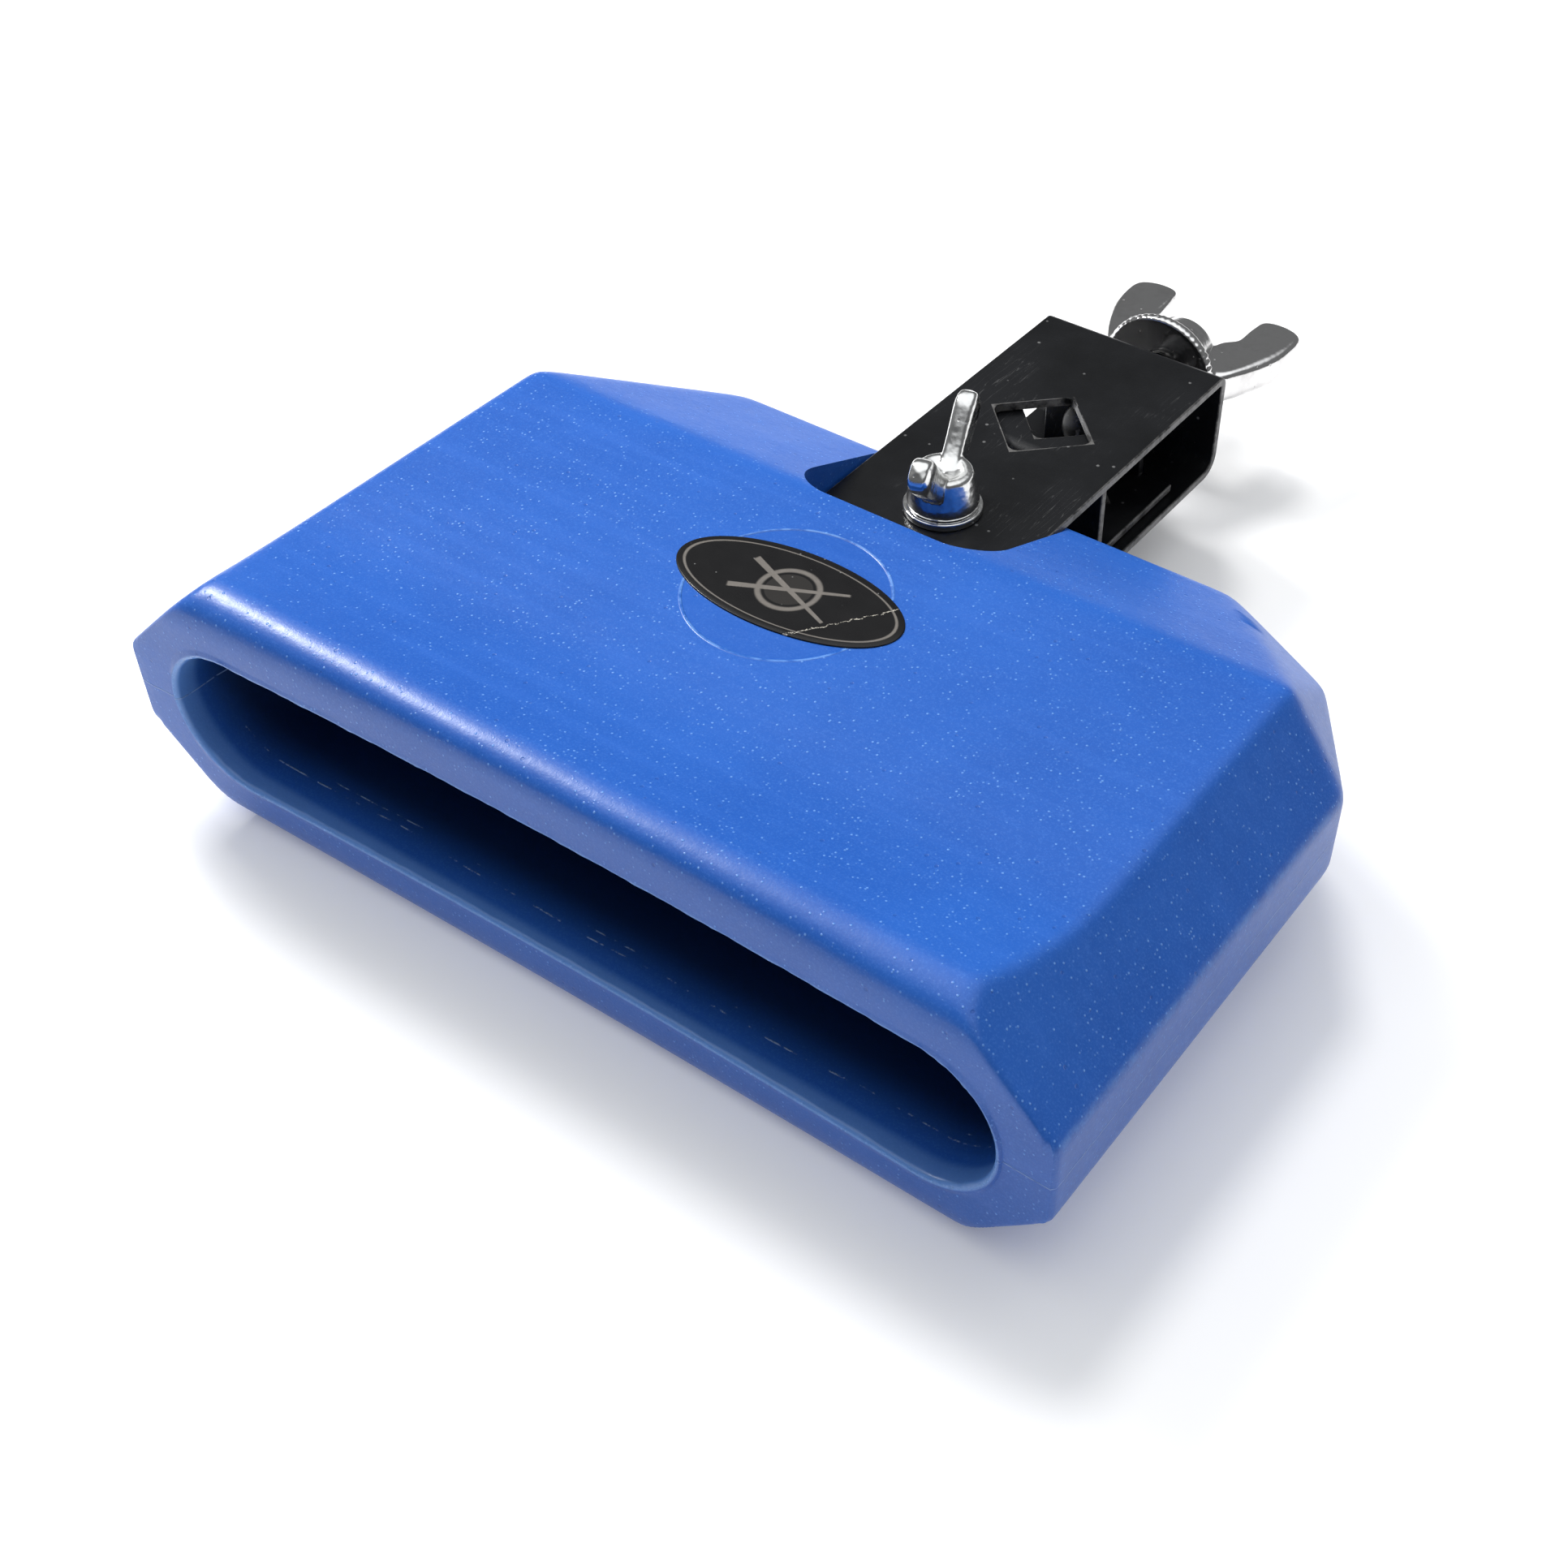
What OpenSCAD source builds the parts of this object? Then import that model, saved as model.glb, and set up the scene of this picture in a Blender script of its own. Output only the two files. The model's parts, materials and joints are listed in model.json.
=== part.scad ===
// Clip-on percussion block: a hollow moulded block with a wide slot mouth,
// held by a steel clamp bracket that grips an upright rod.
// Frame: X along the mouth, +Y from the mouth to the wing nut, +Z up.
// Origin: middle of the mouth, on the mould's parting plane.

/* [Block] */
// Width of the block along the mouth
block_w = 165; // [140:1:190]
// Length of the block from the middle of the mouth to the back edge
block_l = 105.2; // [98:0.1:125]
// Height over the flared lips at the mouth
lip_h = 44.4; // [42:0.2:50]
// Height of the flat body behind the lips
body_h = 37.6; // [34:0.2:40]
// Height of the upright band round the sides
band_h = 14; // [10:0.5:16]
// Height of the upright edge at the back
back_h = 16.6; // [12:0.2:19]
// Rounding of the lips' outer edge
lip_r = 7; // [5:0.5:9]
// Distance from the mouth to where the flare ends
flare_l = 30; // [22:1:40]
// Length of the sloping back, measured along the block
slope_l = 27; // [22:0.5:30]
// How far the sloping sides come in at the body's height
side_slope_w = 12.2; // [8:0.2:16]

/* [Mouth] */
// How far the ends of the mouth stand out in front of its middle
mouth_bow = 2; // [0:0.1:4]
// Length of the slot mouth
mouth_w = 147.4; // [120:0.5:160]
// Height of the slot mouth
mouth_h = 24.4; // [18:0.2:28]
// Plastic left between the hollow and the bracket's pocket
back_wall = 9.2; // [5:0.2:16]
// How much lower the hollow is at its far end
hollow_draft = 3; // [0:0.5:5]

/* [Bracket] */
// Width of the bracket strip
bracket_w = 36; // [30:0.5:44]
// Thickness of the bracket strip
bracket_t = 1.5; // [1.2:0.1:2]
// Height over both legs of the bracket
bracket_h = 20; // [18:0.5:24]
// Length of the bracket behind the block
bracket_tail = 52.6; // [50:0.2:60]
// Inside radius of the bracket's upper bend
upper_bend_r = 0.6; // [0.2:0.1:4]
// Inside radius of the bracket's lower bend
lower_bend_r = 2.5; // [0.5:0.1:4]
// Corner radius at the legs' front ends
leg_corner_r = 6; // [3:0.5:8]
// Gap between each bracket edge and the pocket beside it
pocket_gap = 0.6; // [0.3:0.1:1.5]
// Corner radius of the pocket
pocket_corner_r = 8; // [7:0.5:10]

/* [Rod clamp] */
// Distance from the block's back edge to the middle of the rod holes
rod_out = 20.4; // [20:0.2:24]
// Side length of the diamond rod holes
rod_hole = 14.3; // [13:0.1:15]
// Corner radius of the diamond rod holes
rod_hole_r = 1.8; // [1:0.1:2.5]
// Thickness of the clamp jaw strip
jaw_t = 1.5; // [1.2:0.1:2]
// Width of the clamp jaw
jaw_w = 32; // [26:0.5:34]
// Gap between the jaw and the bracket's legs
jaw_gap = 0.3; // [0.2:0.05:0.6]
// How far the jaw is drawn back from lined-up holes
jaw_set = 8; // [7.5:0.1:9]
// How far the clamp bolt sits below mid height
clamp_drop = 0.8; // [0:0.1:1]
// Diameter of the clamp bolt's shank
clamp_bolt_d = 8; // [8:0.5:10]
// Diameter of the clamp bolt's round head
clamp_head_d = 11.6; // [10:0.2:12]
// Height of the clamp bolt's round head
clamp_head_h = 3.4; // [2.5:0.1:4]
// Length of the clamp bolt past the jaw's tongue
clamp_bolt_l = 35.5; // [30:0.5:38]
// Gap between the wing nut and the bracket
nut_gap = 8.4; // [8.1:0.1:9]

/* [Wing nut] */
// Diameter of the wing nut's flange
flange_d = 22.6; // [20:0.2:26]
// Thickness of the flange
flange_t = 2; // [1.5:0.1:3]
// Diameter of the wing nut's hub
hub_d = 14; // [13:0.5:16]
// Length of the wing nut's hub with its flange
hub_l = 11; // [9:0.5:12]
// Span over both wings
wing_span = 36.4; // [32:0.2:44]
// Length from the flange to the wing tips
wing_l = 25; // [20:0.2:28]
// Width of each wing at its tip
wing_tip_w = 9.4; // [6:0.2:11]
// Thickness of each wing
wing_t = 5.8; // [4:0.2:7]

/* [Wing bolt] */
// Distance from the block's back edge in to the wing bolt
bolt_in = 9.6; // [9:0.2:14]
// Diameter of the wing bolt's shank
bolt_d = 6; // [5:0.5:6.5]
// Diameter of the wing bolt's hub at its foot
bolt_hub_d = 11.8; // [10:0.2:12.4]
// Diameter of the wing bolt's hub at its top
bolt_hub_top_d = 9; // [8:0.2:10]
// Height of the wing bolt's hub
bolt_hub_h = 6.6; // [5:0.2:8]
// Span over the wing bolt's wings
bolt_wing_span = 26.4; // [22:0.2:33]
// Height of the wing bolt's wings above its foot
bolt_wing_h = 13.4; // [11:0.2:17]
// Width of the wing bolt's wings at the tip
bolt_wing_tip_w = 5.6; // [4:0.2:7]
// Thickness of the wing bolt's wings
bolt_wing_t = 3.8; // [3:0.2:4.6]
// Turn of the wings from the width of the block
bolt_wing_turn = 104; // [0:1:180]
// Outside diameter of the flat washers
washer_d = 13; // [12:0.1:16]
// Thickness of the flat washers
washer_t = 1.2; // [1:0.1:1.6]
// Width across the flats of the hexagon nut
nut_af = 10; // [10:0.5:11]
// Height of the hexagon nut
nut_h = 5; // [4:0.5:6]
// Bolt length left below the hexagon nut
bolt_tail = 3; // [2:0.5:6]

/* [Label] */
// Length of the oval label
label_w = 39; // [30:0.5:44]
// Width of the oval label
label_l = 18.4; // [12:0.5:20]
// Thickness of the label
label_t = 0.25; // [0.2:0.05:0.5]
// Distance from the mouth to the label's middle
label_y = 55; // [46:0.5:62]
// Turn of the label on the block
label_turn = 2; // [-10:1:10]

/* [Fits] */
// Radial clearance where a shank turns in a thread
thread_gap = 0.05; // [0.02:0.01:0.1]
// Radial clearance where a bolt passes a plain hole
hole_gap = 0.4; // [0.3:0.1:0.8]
// Space left between faces that only rest on each other
rest_gap = 0.05; // [0:0.01:0.1]

/* [Hidden] */
$fn = 64;
eps = 0.01;

half_w = block_w / 2;
front_y = -mouth_bow;
bow_half = half_w + 1;
bow_r = (bow_half * bow_half + mouth_bow * mouth_bow) / (2 * max(mouth_bow, 0.1));
half_lip = lip_h / 2;
half_body = body_h / 2;
half_band = band_h / 2;
half_back = back_h / 2;
half_mouth = mouth_h / 2;
slope_y = block_l - slope_l;
hollow_l = slope_y - back_wall;
bolt_y = block_l - bolt_in;
rod_y = block_l + rod_out;
bracket_end = block_l + bracket_tail;
side_in = side_slope_w * (half_lip - half_band) / (half_body - half_band);
corner_in_w = 34.5;
corner_mid_w = 13;
corner_mid_l = 10.4;
corner_out_l = 30;

half_bracket = bracket_w / 2;
leg_out = bracket_h / 2;
leg_in = leg_out - bracket_t;
pocket_w = bracket_w + 2 * pocket_gap;
leg_front = slope_y + 2.3;
upper_out = upper_bend_r + bracket_t;
lower_out = lower_bend_r + bracket_t;

half_diamond = rod_hole / sqrt(2);
jaw_y = rod_y + jaw_set;
jaw_out = leg_in - jaw_gap;
jaw_in = jaw_out - jaw_t;
jaw_land = 4;
jaw_front = jaw_y - half_diamond - jaw_land;
jaw_back = jaw_y + half_diamond + 1.4;
tongue_w = 20;
tongue_y = jaw_back - jaw_t;
jaw_bend_r = 1.2;
nut_front = bracket_end + nut_gap;
wing_foot_r = 3.6;
wing_tip = [(wing_span - wing_tip_w) / 2, wing_l - wing_tip_w / 2];
bolt_tip = [(bolt_wing_span - bolt_wing_tip_w) / 2, bolt_wing_h - bolt_wing_tip_w / 2];

washer_foot = leg_out + rest_gap;
bolt_foot = washer_foot + washer_t + rest_gap;
under_top = -leg_out - rest_gap;
nut_top = under_top - washer_t - rest_gap;
nut_foot = nut_top - nut_h;
washer_hole_d = bolt_d + 2 * hole_gap;

// Points on an arc round centre c, from angle a0 to a1, in n steps.
function arc(c, r, a0, a1, n) =
    [for (i = [0 : n]) c + r * [cos(a0 + (a1 - a0) * i / n), sin(a0 + (a1 - a0) * i / n)]];

// The upper half of the block's side profile, in (Y, Z): the rounded lip, a hollow
// flare tangent to both the lip and the flat top, and the sloping back.
lip_centre = [front_y + lip_r, half_lip - lip_r];
flare_dx = flare_l - lip_centre.x;
flare_dz = half_body - lip_centre.y;
flare_r = (flare_dx * flare_dx + flare_dz * flare_dz - lip_r * lip_r) / (2 * (lip_r - flare_dz));
flare_centre = [flare_l, half_body + flare_r];
flare_angle = atan2(flare_centre.y - lip_centre.y, flare_centre.x - lip_centre.x);
upper_profile = concat(
    arc(lip_centre, lip_r, 180, flare_angle, 8),
    arc(flare_centre, flare_r, 180 + flare_angle, 270, 10),
    [[slope_y, half_body], [block_l, half_back]]);
lower_profile = [for (i = [len(upper_profile) - 1 : -1 : 0])
    [upper_profile[i].x, -upper_profile[i].y]];

// The block's outline seen from above at the height of its band.
plan_right = [[half_w, front_y - 1], [half_w, block_l - corner_out_l],
    [half_w - corner_mid_w, block_l - corner_mid_l], [half_w - corner_in_w, block_l]];
plan_left = [for (i = [len(plan_right) - 1 : -1 : 0]) [-plan_right[i].x, plan_right[i].y]];

// A plate outline with its length along Y, rounded at both front corners.
module tongue_outline(w, l, r) {
    translate([-w / 2, r]) square([w, l - r]);
    translate([-w / 2 + r, 0]) square([w - 2 * r, l]);
    for (s = [-1, 1]) translate([s * (w / 2 - r), r]) circle(r);
}

// The diamond rod hole: a square on its corner, with rounded corners.
module diamond_outline(side, r) {
    rotate(45) {
        square([side, side - 2 * r], center = true);
        square([side - 2 * r, side], center = true);
        for (a = [45 : 90 : 315]) rotate(a) translate([(side / 2 - r) * sqrt(2), 0]) circle(r);
    }
}

// A strip bent in the (Y, Z) plane and extruded along X, centred on X = 0.
module along_x(w) {
    translate([-w / 2, 0, 0]) rotate([90, 0, 90]) linear_extrude(w) children();
}

module along_y(y, h) {
    translate([0, y, 0]) rotate([-90, 0, 0]) linear_extrude(h) children();
}

module rod_hole_cut(y) {
    translate([0, y, -leg_out - 1]) linear_extrude(bracket_h + 2) diamond_outline(rod_hole, rod_hole_r);
}

// Flat washer lying on z = 0.
module washer_ring() {
    linear_extrude(washer_t) difference() {
        circle(d = washer_d);
        circle(d = washer_hole_d);
    }
}

// Slab between two heights with bevelled sides: the block before its profile is cut.
module bevelled_body() {
    hull() {
        translate([0, 0, -half_band]) linear_extrude(band_h) polygon(concat(plan_right, plan_left));
        translate([side_slope_w - half_w, front_y - 1, -half_body])
            cube([block_w - 2 * side_slope_w, slope_y - front_y + 1, body_h]);
        translate([side_in - half_w, front_y - 1, -half_lip])
            cube([block_w - 2 * side_in, flare_l - front_y + 1, lip_h]);
        translate([corner_in_w - half_w, slope_y, -half_back])
            cube([block_w - 2 * corner_in_w, slope_l, back_h]);
    }
}

// The stadium-shaped hollow, a little lower at its far end, cut from in front of the lips.
module mouth_hollow() {
    lead = mouth_bow + 1;
    end_x = mouth_w / 2 - half_mouth;
    far_half = half_mouth - hollow_draft / 2;
    near_half = half_mouth + lead * hollow_draft / 2 / hollow_l;
    for (s = [-1, 1]) translate([s * end_x, -lead, 0]) rotate([-90, 0, 0])
        cylinder(h = hollow_l + lead, r1 = near_half, r2 = far_half);
    along_x(2 * end_x) polygon([[-lead, -near_half], [-lead, near_half],
        [hollow_l, far_half], [hollow_l, -far_half]]);
}

module block() {
    color("#2f66c4") difference() {
        intersection() {
            bevelled_body();
            along_x(block_w) polygon(concat(upper_profile, lower_profile));
        }
        mouth_hollow();
        translate([0, -bow_r, -half_lip - 1]) cylinder(h = lip_h + 2, r = bow_r, $fn = 720);
        for (s = [0, 1]) mirror([0, 0, s]) translate([0, slope_y, leg_in])
            linear_extrude(half_lip) tongue_outline(pocket_w, block_l, pocket_corner_r);
        translate([0, bolt_y, -half_lip]) cylinder(h = lip_h, d = washer_hole_d);
    }
}

module label() {
    color("#101114") translate([0, label_y, half_body]) rotate(label_turn)
        linear_extrude(label_t) scale([label_w / label_l, 1]) circle(d = label_l);
}

// A closed channel from the side, open towards -Y: two legs and a back wall at Y = back,
// reaching half above and below, with its own corner radius at each bend.
module channel_side(front, back, half, upper_r, lower_r) {
    translate([front, -half + lower_r]) square([back - front, 2 * half - upper_r - lower_r]);
    translate([front, -half]) square([back - front - lower_r, lower_r + eps]);
    translate([front, half - upper_r - eps]) square([back - front - upper_r, upper_r + eps]);
    translate([back - lower_r, -half + lower_r]) circle(lower_r);
    translate([back - upper_r, half - upper_r]) circle(upper_r);
}

module bracket_profile() {
    difference() {
        channel_side(leg_front, bracket_end, leg_out, upper_out, lower_out);
        channel_side(leg_front - 1, bracket_end - bracket_t, leg_in, upper_bend_r, lower_bend_r);
    }
}

module bracket() {
    color("#17181a") difference() {
        intersection() {
            along_x(bracket_w) bracket_profile();
            translate([0, leg_front, -leg_out]) linear_extrude(bracket_h)
                tongue_outline(bracket_w, bracket_end - leg_front + 1, leg_corner_r);
        }
        rod_hole_cut(rod_y);
        translate([0, bolt_y, -leg_out - 1]) cylinder(h = bracket_h + 2, d = washer_hole_d);
        translate([0, bracket_end - 2 * bracket_t, -clamp_drop]) rotate([-90, 0, 0])
            cylinder(h = 3 * bracket_t, d = clamp_bolt_d + 2 * hole_gap);
    }
}

// The jaw's strip from the side: upper leg, front wall and lower leg.
module jaw_profile() {
    out_r = jaw_bend_r + jaw_t;
    difference() {
        union() {
            translate([jaw_front + out_r, -jaw_out]) square([jaw_back - jaw_front - out_r, 2 * jaw_out]);
            translate([jaw_front, -jaw_out + out_r]) square([out_r + eps, 2 * (jaw_out - out_r)]);
            for (s = [-1, 1]) translate([jaw_front + out_r, s * (jaw_out - out_r)]) circle(out_r);
        }
        translate([jaw_front + out_r, -jaw_in]) square([jaw_back, 2 * jaw_in]);
        translate([jaw_front + jaw_t, -jaw_in + jaw_bend_r]) square([jaw_back, 2 * (jaw_in - jaw_bend_r)]);
        for (s = [-1, 1]) translate([jaw_front + out_r, s * (jaw_in - jaw_bend_r)]) circle(jaw_bend_r);
    }
}

// The tongue turned up at the back of the lower leg, which holds the bolt's head.
module jaw_tongue() {
    along_y(tongue_y, jaw_t) difference() {
        union() {
            translate([-tongue_w / 2, 0]) square([tongue_w, jaw_in + eps]);
            intersection() {
                circle(d = tongue_w);
                square([tongue_w, 2 * (jaw_in - 0.5)], center = true);
            }
        }
        translate([0, clamp_drop]) circle(d = clamp_bolt_d + 2 * rest_gap);
    }
}

module clamp_jaw() {
    color("#1b1c1f") {
        difference() {
            along_x(jaw_w) jaw_profile();
            rod_hole_cut(jaw_y);
        }
        jaw_tongue();
    }
}

// Carriage bolt along +Y: round head in front of the tongue, dome at the far end.
module clamp_bolt() {
    head_y = tongue_y - rest_gap;
    shank_end = tongue_y + jaw_t + clamp_bolt_l;
    dome_r = clamp_bolt_d / 2;
    head_r = clamp_head_d / 2;
    ball_r = (head_r * head_r + clamp_head_h * clamp_head_h) / (2 * clamp_head_h);
    color("#202124") translate([0, head_y, -clamp_drop]) rotate([-90, 0, 0]) {
        intersection() {
            translate([0, 0, ball_r - clamp_head_h]) sphere(ball_r);
            translate([0, 0, -clamp_head_h]) cylinder(h = clamp_head_h, r = head_r + 1);
        }
        translate([0, 0, -eps]) cylinder(h = shank_end - head_y - dome_r, d = clamp_bolt_d);
        translate([0, 0, shank_end - head_y - dome_r - eps]) sphere(dome_r);
    }
}

// One wing from the side, with Y along the screw's axis: it widens from its foot
// through a belly to a round tip.
module wing_outline(foot, foot_r, belly, belly_r, tip, tip_r) {
    hull() {
        translate(foot) circle(foot_r);
        translate(belly) circle(belly_r);
        translate(tip) circle(tip_r);
    }
}

module wing_nut() {
    color("#c9c9cb") translate([0, nut_front, -clamp_drop]) difference() {
        union() {
            rotate([-90, 0, 0]) cylinder(h = flange_t, d = flange_d);
            rotate([-90, 0, 0]) cylinder(h = hub_l, d1 = hub_d + 3, d2 = hub_d - 1);
            for (s = [0, 1]) mirror([s, 0, 0]) translate([0, 0, -wing_t / 2])
                linear_extrude(wing_t) wing_outline(
                    [hub_d / 2 + 1, wing_foot_r + 1], wing_foot_r,
                    [wing_tip.x - 0.8, (wing_tip.y + wing_foot_r) / 2 + 1], wing_tip_w / 2,
                    wing_tip, wing_tip_w / 2);
        }
        translate([0, -1, 0]) rotate([-90, 0, 0])
            cylinder(h = wing_l + 2, d = clamp_bolt_d + 2 * thread_gap);
    }
}

module wing_bolt() {
    bolt_end = nut_foot - bolt_tail;
    color("#cfd0d2") translate([0, bolt_y, 0]) {
        translate([0, 0, bolt_end]) cylinder(h = bolt_foot - bolt_end + eps, d = bolt_d);
        translate([0, 0, bolt_foot]) cylinder(h = bolt_hub_h, d1 = bolt_hub_d, d2 = bolt_hub_top_d);
        rotate(bolt_wing_turn) for (s = [0, 1]) mirror([s, 0, 0])
            translate([0, bolt_wing_t / 2, bolt_foot]) rotate([90, 0, 0]) linear_extrude(bolt_wing_t)
                wing_outline([bolt_hub_top_d / 2 - 1.2, bolt_hub_h - 2], 2.4,
                    [(bolt_tip.x + bolt_hub_top_d / 2) / 2, (bolt_tip.y + bolt_hub_h) / 2], 2.4,
                    bolt_tip, bolt_wing_tip_w / 2);
    }
}

module bolt_washer() {
    color("#c4c6c9") translate([0, bolt_y, washer_foot]) washer_ring();
}

module under_washer() {
    color("#c4c6c9") translate([0, bolt_y, under_top - washer_t]) washer_ring();
}

module under_nut() {
    color("#c4c6c9") translate([0, bolt_y, nut_foot]) difference() {
        cylinder(h = nut_h, d = nut_af / cos(30), $fn = 6);
        translate([0, 0, -1]) cylinder(h = nut_h + 2, d = bolt_d + 2 * thread_gap);
    }
}

block();
label();
bracket();
clamp_jaw();
clamp_bolt();
wing_nut();
wing_bolt();
bolt_washer();
under_washer();
under_nut();
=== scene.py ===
# %% [markdown]
# # Clip-on percussion block
#
# A hollow moulded block with a wide slot mouth, on a black steel clamp bracket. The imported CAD
# model gives the frame: every length below is in millimetres in that frame, with X along the
# mouth, +Y from the mouth to the wing nut and +Z up. Each new piece is a closed surface made
# from arrays, stands for one CAD node, and rides on that node's body.

import json
import math

import bmesh
import bpy
import numpy as np
from mathutils import Matrix, Vector


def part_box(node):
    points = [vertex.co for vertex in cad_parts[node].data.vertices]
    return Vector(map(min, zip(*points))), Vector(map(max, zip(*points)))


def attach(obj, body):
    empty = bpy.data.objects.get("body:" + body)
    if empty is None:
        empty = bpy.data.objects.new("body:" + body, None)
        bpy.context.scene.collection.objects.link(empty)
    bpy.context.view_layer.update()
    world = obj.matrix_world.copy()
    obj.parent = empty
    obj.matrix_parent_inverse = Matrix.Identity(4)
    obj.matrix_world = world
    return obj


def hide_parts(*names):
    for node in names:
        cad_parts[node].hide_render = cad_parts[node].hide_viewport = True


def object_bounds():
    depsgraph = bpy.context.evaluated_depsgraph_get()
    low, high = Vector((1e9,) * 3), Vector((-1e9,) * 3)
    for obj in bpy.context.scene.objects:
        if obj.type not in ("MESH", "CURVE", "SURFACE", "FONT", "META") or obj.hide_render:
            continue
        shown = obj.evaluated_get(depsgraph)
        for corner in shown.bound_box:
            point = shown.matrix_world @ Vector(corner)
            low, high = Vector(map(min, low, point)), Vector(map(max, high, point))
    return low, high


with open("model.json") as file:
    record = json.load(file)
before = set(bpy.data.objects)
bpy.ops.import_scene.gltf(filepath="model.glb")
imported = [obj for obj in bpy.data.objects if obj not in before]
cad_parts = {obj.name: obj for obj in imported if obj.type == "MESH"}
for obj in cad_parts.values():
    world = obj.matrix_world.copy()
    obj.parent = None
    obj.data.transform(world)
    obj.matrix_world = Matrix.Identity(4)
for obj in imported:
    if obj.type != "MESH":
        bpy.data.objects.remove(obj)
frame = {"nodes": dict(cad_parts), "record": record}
CAD_LO, CAD_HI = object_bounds()
MM = 0.001
BODY_OF = {node: body for body, nodes in frame["record"]["behaviour"]["bodies"].items() for node in nodes}
print("CAD box in mm:", [round(v / MM, 1) for v in CAD_LO], [round(v / MM, 1) for v in CAD_HI])

# %% [markdown]
# ## Sizes read from the CAD boxes
#
# A detailed piece has to lie exactly over the CAD piece that it stands for. The numbers could be
# typed in again, but then the two would drift apart when the CAD changes. So the outer sizes are
# read from the CAD nodes' boxes, and only what a box can't tell, such as a radius, is a number
# here.

# %% sizes


def edges_mm(node):
    """(low corner, high corner) of a CAD node in millimetres."""
    low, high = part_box(node)
    return np.array(low) / MM, np.array(high) / MM


block_lo, block_hi = edges_mm("block")
bracket_lo, bracket_hi = edges_mm("bracket")
nut_lo, nut_hi = edges_mm("wing_nut")
bolt_lo, bolt_hi = edges_mm("wing_bolt")
clamp_lo, clamp_hi = edges_mm("clamp_bolt")
washer_lo, washer_hi = edges_mm("bolt_washer")
clamp_axis_z = (clamp_lo[2] + clamp_hi[2]) / 2
jaw_lo, jaw_hi = edges_mm("clamp_jaw")
label_lo, label_hi = edges_mm("label")

HALF_W = block_hi[0]
BACK_Y = block_hi[1]
BOW = -block_lo[1]
LIP_Z = block_hi[2]
BODY_Z = label_lo[2]
BAND_Z = 7.0
BACK_Z = 8.3
SLOPE_Y = BACK_Y - 27.0
FLARE_Y = 30.0
LIP_R = 7.0
MOUTH_R = 12.2
MOUTH_X = 73.7 - MOUTH_R
HOLLOW_Y = SLOPE_Y - 9.2
BOLT_Y = BACK_Y - 9.6
BOLT_HOLE_R = 3.4
CLAMP_HOLE_R = 4.4
ROD_Y = BACK_Y + 20.4
ROD_SIDE = 14.3
ROD_CORNER = 1.8
JAW_Y = ROD_Y + 8.0
MARK_Y = 54.5
MARK_R = 15.6
LABEL_TURN = math.radians(2)
print("block half width", HALF_W, "back", BACK_Y, "lip", LIP_Z, "body", BODY_Z)

# %% [markdown]
# ## Surfaces from arrays
#
# Blender can spin, extrude or sculpt a shape, but a shape that is a formula is easier to check
# and to change. Here a piece is a grid of points: each row is a closed ring, and rows follow each
# other along the piece. Neighbouring points make quads, and the first and last rings either close
# on a centre point or join each other. The whole grid is worked out at once with numpy.

# %% meshes


def add_object(name, points, faces):
    """A mesh object from an (n, 3) array in mm and a list of equal-length face arrays."""
    mesh = bpy.data.meshes.new(name)
    mesh.from_pydata((points * MM).tolist(), [], [f for block in faces for f in block.tolist()])
    bm = bmesh.new()
    bm.from_mesh(mesh)
    bmesh.ops.recalc_face_normals(bm, faces=bm.faces)
    bm.to_mesh(mesh)
    bm.free()
    mesh.shade_smooth()
    obj = bpy.data.objects.new(name, mesh)
    bpy.context.scene.collection.objects.link(obj)
    return obj


def ring_surface(rings, closed=False):
    """(points, faces) of a surface through rings, an array (rows, columns, 3). The columns join
    up. With closed the last row joins the first; without, both ends close on their centres."""
    rows, cols, _ = rings.shape
    points = rings.reshape(-1, 3)
    index = np.arange(rows * cols).reshape(rows, cols)
    nxt = np.roll(index, -1, axis=1)
    if closed:
        down, down_nxt = np.roll(index, -1, axis=0), np.roll(nxt, -1, axis=0)
        return points, [np.stack([index, nxt, down_nxt, down], axis=-1).reshape(-1, 4)]
    quads = np.stack([index[:-1], nxt[:-1], nxt[1:], index[1:]], axis=-1).reshape(-1, 4)
    poles = np.stack([rings[0].mean(axis=0), rings[-1].mean(axis=0)])
    first = np.full(cols, rows * cols)
    caps = [
        np.stack([first, nxt[0], index[0]], axis=-1),
        np.stack([first + 1, index[-1], nxt[-1]], axis=-1),
    ]
    return np.vstack([points, poles]), [quads] + caps


def merged(name, parts):
    """One object from several (points, faces) surfaces."""
    points, faces, start = [], [], 0
    for part_points, part_faces in parts:
        points.append(part_points)
        faces += [block + start for block in part_faces]
        start += len(part_points)
    return add_object(name, np.vstack(points), faces)


def lathe(profile, sides, along, centre, wobble=None, closed=True):
    """Surface of revolution about the Y or Z axis through centre. profile is a list of
    (radius, distance along the axis). wobble(angle, radius, along) changes the radius."""
    profile = np.array(profile, float)
    angle = np.linspace(0, 2 * np.pi, sides, endpoint=False)[None, :]
    radius, height = profile[:, :1], profile[:, 1:]
    radius = np.broadcast_to(radius, (len(profile), sides)).copy()
    if wobble is not None:
        radius = wobble(angle, radius, height)
    a, b, c = radius * np.cos(angle), radius * np.sin(angle), height + 0 * angle
    order = (a, c, b) if along == "y" else (a, b, c)
    return ring_surface(np.stack(order, axis=-1) + np.array(centre, float), closed)


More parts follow.
